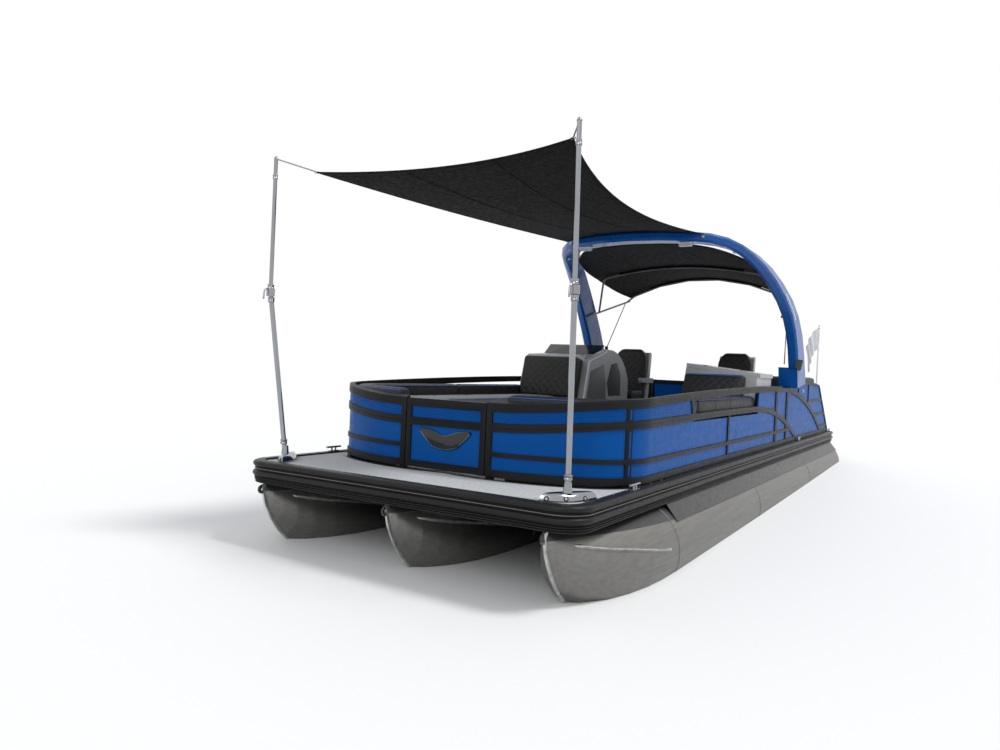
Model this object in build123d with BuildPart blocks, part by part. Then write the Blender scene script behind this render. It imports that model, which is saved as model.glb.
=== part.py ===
from build123d import *
import os
from math import atan2, cos, degrees, hypot, radians, sin, sqrt

os.makedirs("parts", exist_ok=True)

# Millimetres. X runs forward, Y to port, Z up. The origin is on the water, amidships, on the centreline.
# Heights named "..._height" are above the deck, and other Z values are above the water.
seat_gap = 0.3               # clearance between pieces that rest on each other
swing_gap = 8                # clearance round a gate in its opening
pin_gap = 0.5                # round a hinge pin and between its knuckles

# Deck, rub rail and the well that the motor tilts into
beam = 2590
hull_front = 4180
hull_back = -4220
deck_top = 480
deck_thickness = 34
rub_width = 45
rub_height = 150
rub_lip = 12                 # how far the rail stands above the deck
lip_width = 34
bow_corner = 190
stern_corner = 110
well_width = 900
well_length = 540

# Tubes
tube_radius = 317.5
tube_spacing = 1085          # centre tube to side tube
tube_centre = 40
tube_back = -4120
centre_tube_back = -3640
nose_start = 2880
strip_thickness = 14
strip_depth = 16
cap_length = 50
cap_taper = 40

# Under the deck
channel_height = 76
channel_width = 50
channel_wall = 5
channel_count = 20
channel_front = 3880
channel_back = -3560
skirt_width = 6.5            # across the boat, on the slope
skirt_front = 2780
skirt_back = -4110

# Fence: plan of the outer face and heights of its rails
fence_side = 1225            # outer face of the straight sides, from the centreline
fence_front = 3600
nose_radius = 1400
fence_corner = 500
gate_half = 330
rail_width = 40
panel_inset = 10
panel_thickness = 14
fence_gap = 18               # daylight under the bottom rail
post_width = 42
top_rail = 56
mid_rail = 50
low_rail = 28
foot_rail = 46
low_rail_height = 163
apex_place = -900
apex_height = 647
# Tops of the rails where they drop towards the bow gate
top_bow = ((3200, 557), (3440, 533), (3620, 485))
second_bow = ((3200, 420), (3440, 399), (3620, 353))
bow_height = 488             # top rail at the bow gate
arc_foot = -3560             # where the top rail's arc meets the deck
second_place = 200
second_height = 452
second_bow_height = 357
second_foot = -1880
window_front = 2130
window_back = 130
window_rake = 120
side_post = 1170
corner_post = 3240
gate_front = -665            # side gate opening
gate_back = -1210
quarter_stiles = (-1840, -2480)
quarter_peak = (-2270, 698)
quarter_head = (-1330, 630)
quarter_shoulder = (-1800, 684)
quarter_crown = (-2790, 697)
quarter_end = (-3250, 668)
quarter_back = (-4095, fence_gap)
quarter_rail = 28

# Stern fence and its gate
stern_fence = -3200          # forward face
stern_height = 640
stern_gate_near = -560
stern_gate_far = -1120

# Seats
seat_height = 350
cushion_depth = 100
bench_inset = 52
aisle_half = 620
aisle_bow_half = 430
back_height = 545
back_thickness = 115
port_bench_back = 90
helm_bench_back = 730

# Consoles
helm_inner = -400
helm_outer = -1160
port_inner = 430
port_outer = 1160
console_back = -640
shield_width = 50

# Chairs: place forward and to port
helm_chair_place = (-985, -640)
port_chair_place = (-1570, 480)
pedestal_radius = 48
pedestal_height = 320
chair_width = 520

# Steering wheel
wheel_centre = (-306, -700, deck_top + 764)
wheel_axis = (-0.81, 0, 0.587)
wheel_radius = 178
wheel_rim = 15

# Masts
mast_radius = 17
mast_top_radius = 14

# Motor: tilt axis and steering axis
transom = -4150
pod_half = 280
tilt_place = -4225
tilt_height = 395
steer_place = -4320
prop_height = -500
prop_place = -4650


def circle_rise(run, drop):
    """Radius of an arc that starts level and drops by so much over a run."""
    return (run**2 + drop**2) / (2 * drop)


def level_arc(apex, end):
    """Arc in a side view from an apex, where it is level, to a lower end."""
    run = end[0] - apex[0]
    radius = circle_rise(abs(run), apex[1] - end[1])
    middle = run / 2
    return ThreePointArc(apex, (apex[0] + middle, apex[1] - radius + sqrt(radius**2 - middle**2)), end)


def mirrored(part):
    """The same piece on the other side of the centreline."""
    with BuildPart() as other:
        add(mirror(part, about=Plane.XZ))
    return other.part


def save(part, name):
    part.label = name
    export_step(part, f"parts/{name}.step")


def plate(plane, points, amount, both=False):
    """A flat outline of straight edges given a thickness."""
    with BuildPart() as piece:
        with BuildSketch(plane):
            with BuildLine():
                Polyline(*points, close=True)
            make_face()
        extrude(amount=amount, both=both)
    return piece.part


def block(x_range, y_range, z_range):
    """A box between two faces each way."""
    with BuildPart() as piece:
        with BuildSketch(Plane.XY.offset(z_range[0])):
            with Locations(((x_range[0] + x_range[1]) / 2, (y_range[0] + y_range[1]) / 2)):
                Rectangle(abs(x_range[1] - x_range[0]), abs(y_range[1] - y_range[0]))
        extrude(amount=z_range[1] - z_range[0])
    return piece.part


def eight_sides(front, back, width, cut):
    """Face of a rectangle with its corners cut, for the sketch that is being built."""
    half = width / 2
    port = [(front - cut, half), (back + cut, half), (back, half - cut)]
    Polygon((front, half - cut), *port, *((x, -y) for x, y in reversed(port)), (front, cut - half), align=None)


def halfway(rows):
    """A table with one more row between each two, on a smooth curve through them."""
    filled = [rows[0]]
    for index, (near, far) in enumerate(zip(rows, rows[1:])):
        before = rows[index - 1] if index else [2 * a - b for a, b in zip(near, far)]
        after = rows[index + 2] if index + 2 < len(rows) else [2 * b - a for a, b in zip(near, far)]
        filled += [tuple((9 * (b + c) - a - d) / 16 for a, b, c, d in zip(before, near, far, after)), far]
    return filled


# Deck
with BuildPart() as deck:
    with BuildSketch(Plane.XY.offset(deck_top - deck_thickness)) as deck_plan:
        with Locations(((hull_front + hull_back) / 2, 0)):
            Rectangle(hull_front - hull_back - 2 * rub_width, beam - 2 * rub_width)
        fillet(deck_plan.vertices().group_by(Axis.X)[-1], bow_corner - rub_width)
        fillet(deck_plan.vertices().group_by(Axis.X)[0], stern_corner - rub_width)
        with Locations((hull_back, 0)):
            Rectangle(2 * well_length, well_width, mode=Mode.SUBTRACT)
    extrude(amount=deck_thickness)
save(deck.part, "deck")

# Rub rail: two round beads and a lip over the deck's edge, swept round the deck from one side of the well
rub_bottom = deck_top + rub_lip - rub_height
rub_line = (
    (hull_back + rub_width, well_width / 2),
    (hull_back + rub_width, beam / 2 - rub_width),
    (hull_front - rub_width, beam / 2 - rub_width),
    (hull_front - rub_width, rub_width - beam / 2),
    (hull_back + rub_width, rub_width - beam / 2),
    (hull_back + rub_width, -well_width / 2),
)
rub_face = Plane(origin=(*rub_line[0], rub_bottom), x_dir=(-1, 0, 0), z_dir=(0, 1, 0))
bead_root = 22
low_bead = 54
top_bead = 84
with BuildPart() as rub_rail:
    with BuildLine(Plane.XY.offset(rub_bottom)) as rub_path:
        FilletPolyline(*rub_line, radius=[corner - rub_width for corner in
                                    (stern_corner, bow_corner, bow_corner, stern_corner)])
    with BuildSketch(rub_face):
        with BuildLine():
            Polyline((bead_root, rub_height), (-lip_width, rub_height), (-lip_width, rub_height - rub_lip),
                     (0, rub_height - rub_lip), (0, 0), (bead_root, 0))
            ThreePointArc((bead_root, 0), (rub_width, low_bead / 2), (bead_root, low_bead))
            Line((bead_root, low_bead), (bead_root, top_bead))
            ThreePointArc((bead_root, top_bead), (rub_width, (top_bead + rub_height) / 2), (bead_root, rub_height))
        make_face()
    sweep()
save(rub_rail.part, "rub_rail")

# Tubes: a round body, a raked nose that narrows to a stem, a stem and keel strip with an eye, and a domed back
# Nose sections: place forward, half width, top, bottom
nose_sections = (
    (nose_start, tube_radius, tube_centre + tube_radius, tube_centre - tube_radius),
    (3100, 314, 357, -271),
    (3300, 300, 356, -261),
    (3500, 272, 354, -238),
    (3680, 232, 351, -196),
    (3840, 179, 347, -125),
    (3960, 130, 344, -40),
    (4050, 82, 342, 65),
    (4110, 46, 340, 165),
    (4150, 14, 338, 262),
)
# Stem and keel strip in side view, from under the eye back to where the nose starts
stem_top = (4172, 336)
stem_head = (4162, 285)
stem_arc = (stem_head, (4118, 160), (4010, 0))
forefoot_arc = (stem_arc[2], (3740, -190), (3300, -280))
strip_bottom = tube_centre - tube_radius - strip_depth
strip_back = 300             # from the tube's back end
strip_sunk = 40              # how far its inner edge lies inside the tube
eye_place = (4172, 306)
eye_radius = 30
eye_hole = 12


def tube(side, back):
    """A sealed tube at a distance from the centreline, from its back end to its stem."""
    with BuildPart() as body:
        with BuildSketch(Plane.YZ.offset(back + cap_length)):
            with Locations((side, tube_centre)):
                Circle(tube_radius)
        extrude(amount=nose_start - back - cap_length)
        with BuildSketch(Plane.YZ.offset(back + cap_length)):
            with Locations((side, tube_centre)):
                Circle(tube_radius)
        extrude(amount=-cap_length, taper=cap_taper)
        for place, half_width, top, bottom in nose_sections:
            middle = (top + bottom) / 2
            with BuildSketch(Plane.YZ.offset(place)):
                with BuildLine():
                    ThreePointArc((side, top), (side + half_width, middle), (side, bottom))
                    ThreePointArc((side, bottom), (side - half_width, middle), (side, top))
                make_face()
        loft(ruled=True)
        with BuildSketch(Plane.XZ.offset(-side)):
            with BuildLine():
                Line(stem_top, stem_head)
                ThreePointArc(*stem_arc)
                ThreePointArc(*forefoot_arc)
                Polyline(forefoot_arc[2], (nose_start, strip_bottom), (back + strip_back, strip_bottom),
                         (back + strip_back, strip_bottom + strip_sunk), (nose_start, strip_bottom + strip_sunk),
                         (forefoot_arc[2][0], forefoot_arc[2][1] + strip_sunk),
                         (forefoot_arc[1][0], forefoot_arc[1][1] + 2 * strip_sunk),
                         (stem_arc[1][0] - strip_sunk, stem_arc[1][1] + strip_sunk),
                         (stem_top[0] - strip_sunk, stem_top[1]), stem_top)
            make_face()
            with Locations(eye_place):
                Circle(eye_radius)
                Circle(eye_hole, mode=Mode.SUBTRACT)
        extrude(amount=strip_thickness / 2, both=True)
    return body.part


for name, side, back in (
    ("tube_port", tube_spacing, tube_back),
    ("tube_centre", 0, centre_tube_back),
    ("tube_starboard", -tube_spacing, tube_back),
):
    save(tube(side, back), name)

# Cross members: channels across the tubes, open towards the stern
channel_top = deck_top - deck_thickness - seat_gap
channel_length = beam - 2 * rub_width - 2 * seat_gap
channel_pitch = (channel_front - channel_back) / (channel_count - 1)
with BuildPart() as cross_members:
    with BuildSketch(Plane.XZ):
        for index in range(channel_count):
            left = channel_back + index * channel_pitch
            with Locations((left, channel_top - channel_height / 2)):
                Rectangle(channel_width, channel_height)
            with Locations((left - channel_wall, channel_top - channel_height / 2)):
                Rectangle(channel_width, channel_height - 2 * channel_wall, mode=Mode.SUBTRACT)
    extrude(amount=channel_length / 2, both=True)
save(cross_members.part, "cross_members")

# Risers: angles welded between each tube and the cross members
riser_top = channel_top - channel_height
riser_offset = 120
riser_wall = 6
with BuildPart() as risers:
    with BuildSketch(Plane.YZ.offset(channel_back - channel_width)):
        for side in (-tube_spacing, 0, tube_spacing):
            for hand in (-1, 1):
                near = side + hand * riser_offset
                far = near + hand * 45
                foot = tube_centre + sqrt(tube_radius**2 - riser_offset**2) + seat_gap
                with BuildLine():
                    Polyline((near, foot), (near, riser_top), (far, riser_top), (far, riser_top - riser_wall),
                             (near + hand * riser_wall, riser_top - riser_wall), (near + hand * riser_wall, foot),
                             close=True)
                make_face()
    extrude(amount=nose_start - channel_back)
save(risers.part, "risers")

# Side skirts: from under the rub rail out to the tube's shoulder
skirt_top = rub_bottom - seat_gap
skirt_reach = (256, 188.7)   # where the lower edge lies on the tube, from its centre
with BuildPart() as side_skirts:
    with BuildSketch(Plane.YZ.offset(skirt_back)):
        for hand in (-1, 1):
            inner_top = (hand * (beam / 2 - rub_width + 2), skirt_top)
            inner_foot = (hand * (tube_spacing + skirt_reach[0] + seat_gap), tube_centre + skirt_reach[1] + seat_gap)
            with BuildLine():
                Polyline(inner_top, (inner_top[0] + hand * skirt_width, skirt_top),
                         (inner_foot[0] + hand * skirt_width, inner_foot[1]), inner_foot, close=True)
            make_face()
    extrude(amount=skirt_front - skirt_back)
save(side_skirts.part, "side_skirts")

# Motor pod behind the centre tube
pod_outline = ((centre_tube_back - seat_gap, -230), (centre_tube_back - seat_gap, riser_top),
               (-3900, riser_top), (-3930, 330), (transom, 330), (transom, -110), (-3900, -180))
with BuildPart() as motor_pod:
    add(plate(Plane.XZ, pod_outline, pod_half, both=True))
    chamfer(motor_pod.edges().filter_by(Axis.X, reverse=True).group_by(Axis.Z)[0], 60)
save(motor_pod.part, "motor_pod")


# Fence: the plan of its walls crossed with their side view
corner_x = fence_front - nose_radius + sqrt((nose_radius - fence_corner)**2 - (fence_side - fence_corner - gate_half)**2)
corner_y = fence_side - fence_corner
join_angle = degrees(atan2(corner_y - gate_half, corner_x - fence_front + nose_radius))


def fence_line(inset, back):
    """Half of the fence's plan at an inset from its outer face, from the gate post to a place near the stern."""
    nose_centre = (fence_front - nose_radius, gate_half)
    first = CenterArc(nose_centre, nose_radius - inset, 0, join_angle)
    second = CenterArc((corner_x, corner_y), fence_corner - inset, join_angle, 90 - join_angle)
    third = Line((corner_x, fence_side - inset), (back, fence_side - inset))
    return first, second, third


def fence_band(outer, inner, back):
    """Port half of the fence in plan, between two insets."""
    with BuildSketch() as band:
        with BuildLine():
            fence_line(outer, back)
            fence_line(inner, back)
            Line((fence_front - outer, gate_half), (fence_front - inner, gate_half))
            Line((back, fence_side - outer), (back, fence_side - inner))
        make_face()
    return band.sketch


def fence_wall(plan, side_view):
    """Walls that stand on the plan and are cut to the side view."""
    with BuildPart() as wall:
        with BuildSketch(Plane.XY.offset(deck_top)):
            add(plan)
        extrude(amount=2 * apex_height)
        with BuildSketch(Plane.XZ.offset(0)):
            add(side_view)
        extrude(amount=-beam, mode=Mode.INTERSECT)
    return wall.part


def above_deck(*points):
    return [(x, deck_top + height) for x, height in points]


def shared(first, second):
    """What two flat outlines have in common."""
    with BuildSketch() as both:
        add(first)
        add(second, mode=Mode.INTERSECT)
    return both.sketch


def without(first, *others):
    """A flat outline less others."""
    with BuildSketch() as rest:
        add(first)
        for other in others:
            add(other, mode=Mode.SUBTRACT)
    return rest.sketch


def bar(left, right, low, high):
    """A rectangle in the side view, with its heights above the deck."""
    with BuildSketch() as view:
        with Locations(((left + right) / 2, deck_top + (low + high) / 2)):
            Rectangle(abs(right - left), high - low)
    return view.sketch


def lowered(points, amount):
    return [(x, height - amount) for x, height in points]


with BuildSketch() as top_view:
    with BuildLine():
        level_arc(*above_deck((apex_place, apex_height - top_rail / 2), *lowered(top_bow[:1], top_rail / 2)))
        ThreePointArc(*above_deck(*lowered(top_bow, top_rail / 2)))
        level_arc(*above_deck((apex_place, apex_height - top_rail / 2), (arc_foot - 40, -20)))
    trace(line_width=top_rail)
with BuildSketch() as second_view:
    with BuildLine():
        level_arc(*above_deck((second_place, second_height - mid_rail / 2), *lowered(second_bow[:1], mid_rail / 2)))
        ThreePointArc(*above_deck(*lowered(second_bow, mid_rail / 2)))
        level_arc(*above_deck((second_place, second_height - mid_rail / 2), (second_foot - 40, -20)))
    trace(line_width=mid_rail)


# Everything under the fence's top edge
view_front = fence_front + 20
with BuildSketch() as side_area:
    with BuildLine():
        level_arc(*above_deck((apex_place, apex_height), top_bow[0]))
        ThreePointArc(*above_deck(*top_bow))
        Polyline(*above_deck(top_bow[2], (view_front, fence_gap), quarter_back))
        Polyline(*above_deck(quarter_back, quarter_end))
        ThreePointArc(*above_deck(quarter_end, quarter_crown, quarter_peak))
        ThreePointArc(*above_deck(quarter_peak, quarter_shoulder, quarter_head))
        Polyline(*above_deck(quarter_head, (apex_place, quarter_head[1]), (apex_place, apex_height)))
    make_face()
with BuildSketch() as window_view:
    with BuildLine():
        Polyline(*above_deck((window_front + window_rake, 700), (window_front, 380), (window_back, 380),
                             (window_back - window_rake / 2, 700)), close=True)
    make_face()
with BuildSketch() as second_area:
    with BuildLine():
        level_arc(*above_deck((second_place, second_height), second_bow[0]))
        ThreePointArc(*above_deck(*second_bow))
        level_arc(*above_deck((second_place, second_height), (second_foot, 0)))
        Polyline(*above_deck(second_bow[2], (view_front, 0), (second_foot, 0)))
    make_face()
with BuildSketch() as arc_area:
    with BuildLine():
        level_arc(*above_deck((apex_place, apex_height), (arc_foot, 0)))
        Polyline(*above_deck((arc_foot, 0), (view_front, 0), (view_front, apex_height), (apex_place, apex_height)))
    make_face()
with BuildSketch() as rim_view:
    add(side_area.sketch)
    offset(side_area.sketch, amount=-quarter_rail, mode=Mode.SUBTRACT)
quarter_view = without(side_area.sketch, arc_area.sketch, bar(quarter_head[0], view_front, 0, apex_height))

# Quarter rails: level, turned down at the front end to meet the arc. Columns: front end forward, height
quarter_rails = ((-2420, 470), (-2900, 284), (-3180, 118))
quarter_bend = 110
with BuildSketch() as short_rails:
    for front, height in quarter_rails:
        with BuildLine():
            Polyline(*above_deck((quarter_back[0], height), (front - quarter_bend, height)))
            ThreePointArc(*above_deck((front - quarter_bend, height), (front - 0.29 * quarter_bend, height - 24),
                                      (front + 40, height - quarter_bend)))
        trace(line_width=quarter_rail)
with BuildSketch() as window_end:
    with BuildLine():
        Polyline(*above_deck((window_front + window_rake * 0.72, 620), (window_front - window_rake * 0.06, 400)))
    trace(line_width=56)
with BuildSketch() as frame_view:
    add(top_view.sketch)
    add(second_view.sketch)
    add(shared(bar(second_foot, view_front, low_rail_height - low_rail / 2, low_rail_height + low_rail / 2),
               second_area.sketch))
    add(bar(quarter_back[0], view_front, fence_gap, fence_gap + foot_rail))
    add(window_end.sketch)
    add(bar(corner_post - post_width / 2, corner_post + post_width / 2, fence_gap, apex_height))
    add(bar(side_post - post_width / 2, side_post + post_width / 2, fence_gap, second_height - mid_rail / 2))
    add(shared(rim_view.sketch, quarter_view))
    add(shared(short_rails.sketch, quarter_view))
    for place in quarter_stiles:
        add(shared(bar(place - quarter_rail / 2, place + quarter_rail / 2, 0, 2 * apex_height), quarter_view))
    add(side_area.sketch, mode=Mode.INTERSECT)

# Side gate: its opening, posts, and what of the side view it carries
opening = bar(gate_back, gate_front, 0, 2 * apex_height)
gate_area = shared(side_area.sketch, bar(gate_back + swing_gap, gate_front - swing_gap, 0, 2 * apex_height))
gate_posts = shared(side_area.sketch, without(
    bar(gate_back - post_width, gate_front + post_width, fence_gap, apex_height), opening))
gate_stiles = shared(side_area.sketch, without(
    gate_area, bar(gate_back + swing_gap + rail_width, gate_front - swing_gap - rail_width, 0, apex_height)))

with BuildSketch() as side_frame:
    add(frame_view.sketch)
    add(opening, mode=Mode.SUBTRACT)
    add(gate_posts)
with BuildSketch() as plain_frame:
    add(frame_view.sketch)
    add(gate_posts)
with BuildSketch() as gate_frame:
    add(shared(frame_view.sketch, gate_area))
    add(gate_stiles)

panel_area = without(side_area.sketch, window_view.sketch)
rail_plan = fence_band(0, rail_width, quarter_back[0])
panel_plan = fence_band(panel_inset, panel_inset + panel_thickness, quarter_back[0])


def bow_post():
    """Post beside the bow gate, where the fence's curve starts."""
    with BuildSketch() as plan:
        add(rail_plan)
        with Locations((fence_front, gate_half + post_width / 2)):
            Rectangle(4 * rail_width, post_width, mode=Mode.INTERSECT)
    return fence_wall(plan.sketch, side_area.sketch)


# Feet between the bottom rail and the deck, inside the rub rail's lip
foot_places = (3240, 2500, 1700, 900, 100, -635, -1240, -1900, -2600, -3300, -4060)
foot_length = 50
foot_depth = 26
with BuildSketch() as foot_bars:
    for place in foot_places:
        with Locations((place, beam / 4)):
            Rectangle(foot_length, beam / 2)
    with Locations((fence_front, gate_half + foot_length / 2)):
        Rectangle(4 * rail_width, foot_length)
foot_plan = shared(foot_bars.sketch, fence_band(rail_width - foot_depth, rail_width, quarter_back[0]))


def fence_frame(view):
    with BuildPart() as frame:
        add(fence_wall(rail_plan, view))
        add(bow_post())
        with BuildSketch(Plane.XY.offset(deck_top + seat_gap)):
            add(foot_plan)
        extrude(amount=fence_gap - seat_gap)
    return frame.part


def fence_panels(view):
    with BuildPart() as panels:
        add(fence_wall(panel_plan, view))
        add(bow_post(), mode=Mode.SUBTRACT)
    return panels.part


def joined(*pieces):
    """Pieces of one node. Those that touch become one solid."""
    with BuildPart() as whole:
        for piece in pieces:
            add(piece)
    return whole.part


def rod(radius, *points, bend=0):
    """A round bar along straight runs, with rounded bends where it turns."""
    start, follow = Vector(*points[0]), Vector(*points[1])
    with BuildPart() as piece:
        with BuildLine():
            if bend:
                FilletPolyline(*points, radius=bend)
            else:
                Line(*points)
        with BuildSketch(Plane(origin=start, z_dir=follow - start)):
            Circle(radius)
        sweep()
    return piece.part


def post(radius, place, low, high):
    """An upright round bar. Its ends are heights above the deck."""
    with BuildPart() as piece:
        with BuildSketch(Plane.XY.offset(deck_top + low)):
            with Locations(place):
                Circle(radius)
        extrude(amount=high - low)
    return piece.part


def slab(outline, low, high):
    """A plan outline between two heights above the deck."""
    with BuildPart() as piece:
        with BuildSketch(Plane.XY.offset(deck_top + low)):
            add(outline)
        extrude(amount=high - low)
    return piece.part


# Hinges: a fixed and a moving knuckle, each with a leaf on the inner face beside it
knuckle_radius = 8
knuckle_length = 36
leaf_width = 34
leaf_thickness = 3
hinge_levels = (80, 300)
inner_side = fence_side - rail_width
inner_front = fence_front - rail_width
bow_pin = (inner_front - knuckle_radius, swing_gap / 2 - gate_half)
side_pin = (gate_front - swing_gap / 2, inner_side - knuckle_radius)
stern_pin = (stern_fence - rail_width - knuckle_radius, stern_gate_far + swing_gap / 2)


def hinge_half(pin, first, second, raised=0):
    """Knuckles on a pin and the leaf between two corners. The moving ones are raised above the fixed ones."""
    with BuildPart() as half:
        for level in hinge_levels:
            with BuildSketch(Plane.XY.offset(deck_top + level + raised * (knuckle_length + pin_gap))):
                with Locations(pin):
                    Circle(knuckle_radius)
                with Locations(((first[0] + second[0]) / 2, (first[1] + second[1]) / 2)):
                    Rectangle(abs(first[0] - second[0]), abs(first[1] - second[1]))
            extrude(amount=knuckle_length)
    return half.part


side_leaf = (side_pin[0], inner_side - leaf_thickness)
bow_leaf = (inner_front - leaf_thickness, bow_pin[1])
stern_leaf = (stern_fence - rail_width - leaf_thickness, stern_pin[1])
save(joined(fence_frame(side_frame.sketch), hinge_half(side_pin, side_leaf, (gate_front + leaf_width, inner_side))),
     "fence_frame_port")
save(joined(mirrored(fence_frame(plain_frame.sketch)),
            hinge_half(bow_pin, bow_leaf, (inner_front, -gate_half - leaf_width))), "fence_frame_starboard")
save(fence_panels(without(panel_area, side_frame.sketch, opening)), "fence_panels_port")
save(mirrored(fence_panels(without(panel_area, plain_frame.sketch))), "fence_panels_starboard")
save(joined(fence_wall(rail_plan, gate_frame.sketch),
            hinge_half(side_pin, side_leaf, (gate_front - swing_gap - leaf_width, inner_side), 1)), "side_gate_frame")
save(fence_wall(panel_plan, without(gate_area, gate_frame.sketch, window_view.sketch)), "side_gate_panel")


def cross_gate(place, right, left, height, rails):
    """Frame and panel of a gate or fence across the boat. Rails are bottom and top heights above the deck."""
    middle = ((left + right) / 2, deck_top + (fence_gap + height) / 2)
    with BuildSketch() as frame_face:
        with Locations(middle):
            Rectangle(left - right, height - fence_gap)
            Rectangle(left - right - 2 * rail_width, height - fence_gap, mode=Mode.SUBTRACT)
        for low, high in rails:
            with Locations((middle[0], deck_top + (low + high) / 2)):
                Rectangle(left - right, high - low)
    with BuildPart() as frame:
        with BuildSketch(Plane.YZ.offset(place - rail_width)):
            add(frame_face.sketch)
        extrude(amount=rail_width)
    with BuildPart() as panel:
        with BuildSketch(Plane.YZ.offset(place - panel_inset - panel_thickness)):
            with Locations(middle):
                Rectangle(left - right - rail_width, height - fence_gap - foot_rail)
            add(frame_face.sketch, mode=Mode.SUBTRACT)
        extrude(amount=panel_thickness)
    return frame.part, panel.part


foot_rails = (fence_gap, fence_gap + foot_rail)
bow_rails = (foot_rails, (second_bow_height - mid_rail, second_bow_height), (bow_height - top_rail, bow_height))
stern_rails = (foot_rails, (stern_height / 2 - mid_rail, stern_height / 2), (stern_height - top_rail, stern_height))
bow_frame, bow_panel = cross_gate(fence_front, swing_gap - gate_half, gate_half - swing_gap, bow_height, bow_rails)
save(joined(bow_frame, hinge_half(bow_pin, bow_leaf, (inner_front, swing_gap - gate_half + leaf_width), 1)),
     "bow_gate_frame")
save(bow_panel, "bow_gate_panel")
aft_frame, aft_panel = cross_gate(stern_fence, stern_gate_near, inner_side - seat_gap, stern_height, stern_rails)
aft_post = block((stern_fence - rail_width, stern_fence), (seat_gap - inner_side, stern_gate_far),
                 (deck_top + fence_gap, deck_top + stern_height))
aft_feet = [block((stern_fence - rail_width, stern_fence), (side - foot_length / 2, side + foot_length / 2),
                  (deck_top + seat_gap, deck_top + fence_gap)) for side in (-1155, -530, 300, 1130)]
save(joined(aft_frame, aft_post, *aft_feet,
            hinge_half(stern_pin, stern_leaf, (stern_fence - rail_width, stern_gate_far - leaf_width))),
     "stern_fence_frame")
save(aft_panel, "stern_fence_panel")
aft_gate, aft_gate_panel = cross_gate(stern_fence, stern_gate_far + swing_gap, stern_gate_near - swing_gap,
                                      stern_height, stern_rails)
save(joined(aft_gate, hinge_half(stern_pin, stern_leaf,
                                 (stern_fence - rail_width, stern_gate_far + swing_gap + leaf_width), 1)),
     "stern_gate_frame")
save(aft_gate_panel, "stern_gate_panel")

# Bow benches: moulded bases, seat cushions in two lengths and backs along the fence
base_overhang = 18           # how far the cushions stand over the base
aisle_turns = (2700, 3300)   # where the aisle starts to narrow and where it stops
seat_split = 1900            # joint between the straight and the curved seat cushion
soft_gap = 3                 # between cushions


def bench_area(inset, back, overhang=0):
    """Port bench in plan, between the fence line at an inset and the aisle."""
    with BuildSketch() as plan:
        with BuildLine():
            fence_line(inset, back)
            Polyline((fence_front - inset, gate_half), (fence_front - inset, 0), (back, 0), (back, fence_side - inset))
        make_face()
        with BuildLine():
            Polyline((back - 1, -1), (fence_front, -1), (fence_front, aisle_bow_half + overhang),
                     (aisle_turns[1], aisle_bow_half + overhang), (aisle_turns[0], aisle_half + overhang),
                     (back - 1, aisle_half + overhang), close=True)
        make_face(mode=Mode.SUBTRACT)
    return plan.sketch


def ahead_of(place):
    """Everything on the port side of the deck forward of a place."""
    with BuildSketch() as area:
        with Locations(((place + hull_front) / 2, beam / 4)):
            Rectangle(hull_front - place, beam / 2)
    return area.sketch


def bench(back):
    """Base and cushions of a bow bench, on the port side."""
    base = slab(bench_area(bench_inset, back, base_overhang), seat_gap, seat_height)
    seat = bench_area(bench_inset + back_thickness + soft_gap, back)
    seat_low, seat_high = seat_height + seat_gap, seat_height + cushion_depth
    rest = without(bench_area(bench_inset, back), bench_area(bench_inset + back_thickness, back))
    cushions = joined(
        slab(without(seat, ahead_of(seat_split)), seat_low, seat_high),
        slab(shared(seat, ahead_of(seat_split + soft_gap)), seat_low, seat_high),
        slab(without(rest, ahead_of(seat_split)), seat_low, back_height),
        slab(shared(rest, ahead_of(seat_split + soft_gap)), seat_low, back_height))
    return base, cushions


port_base, port_cushions = bench(port_bench_back)
helm_base, helm_cushions = bench(helm_bench_back)
save(joined(port_base, mirrored(helm_base)), "bow_bench_bases")


def side_solid(points, right, left):
    """A side view of straight edges, above the deck, carried across the boat from one side to the other."""
    return plate(Plane.XZ.offset(-right), above_deck(*points), right - left)


# Backrests that lean on the consoles, for whoever sits along the benches
seat_top = seat_height + cushion_depth + soft_gap
rest_outer = fence_side - bench_inset - back_thickness - soft_gap
helm_rest = side_solid(((700, seat_top), (850, seat_top), (762, 840), (740, 862), (700, 858), (577, 833), (691, 380)),
                       -rest_outer, helm_inner - shield_width)
port_rest = side_solid(((59.5, seat_top), (205, seat_top), (100, 716), (80, 742), (30, 742), (-24.4, 733)),
                       port_inner + 30, rest_outer)
save(joined(port_cushions, mirrored(helm_cushions)), "bow_cushions")
save(joined(helm_rest, port_rest), "console_backrests")

# Helm console: moulded body with a raised wall along the aisle, a column boss on its dash and a raked screen
helm_outline = ((690, seat_gap), (690, 380), (560, 840), (480, 885), (150, 905), (-60, 890), (-120, 850), (-330, 560),
                (-510, 500), (-510, seat_gap))
boss_radius = 46
boss_height = 26
column_radius = 16
wall_line = ((690, seat_gap), (690, 380), (560, 840), (430, 880), (100, 965), (30, 960))
wall_arc = ((30, 960), (-330, 850), (-510, 630))
axle = Vector(*wheel_axis).normalized()
dash_point = Vector(-225, wheel_centre[1], deck_top + 705)
with BuildPart() as helm_console:
    add(side_solid(helm_outline, helm_outer, helm_inner - shield_width))
    with BuildSketch(Plane.XZ.offset(shield_width - helm_inner)):
        with BuildLine():
            Polyline(*above_deck(*wall_line))
            ThreePointArc(*above_deck(*wall_arc))
            Polyline(*above_deck(wall_arc[2], (wall_arc[2][0], seat_gap), wall_line[0]))
        make_face()
    extrude(amount=-shield_width)
    with BuildSketch(Plane(origin=dash_point - axle * boss_radius, z_dir=axle)):
        Circle(boss_radius)
    extrude(amount=boss_radius + boss_height)
save(helm_console.part, "helm_console")
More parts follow.
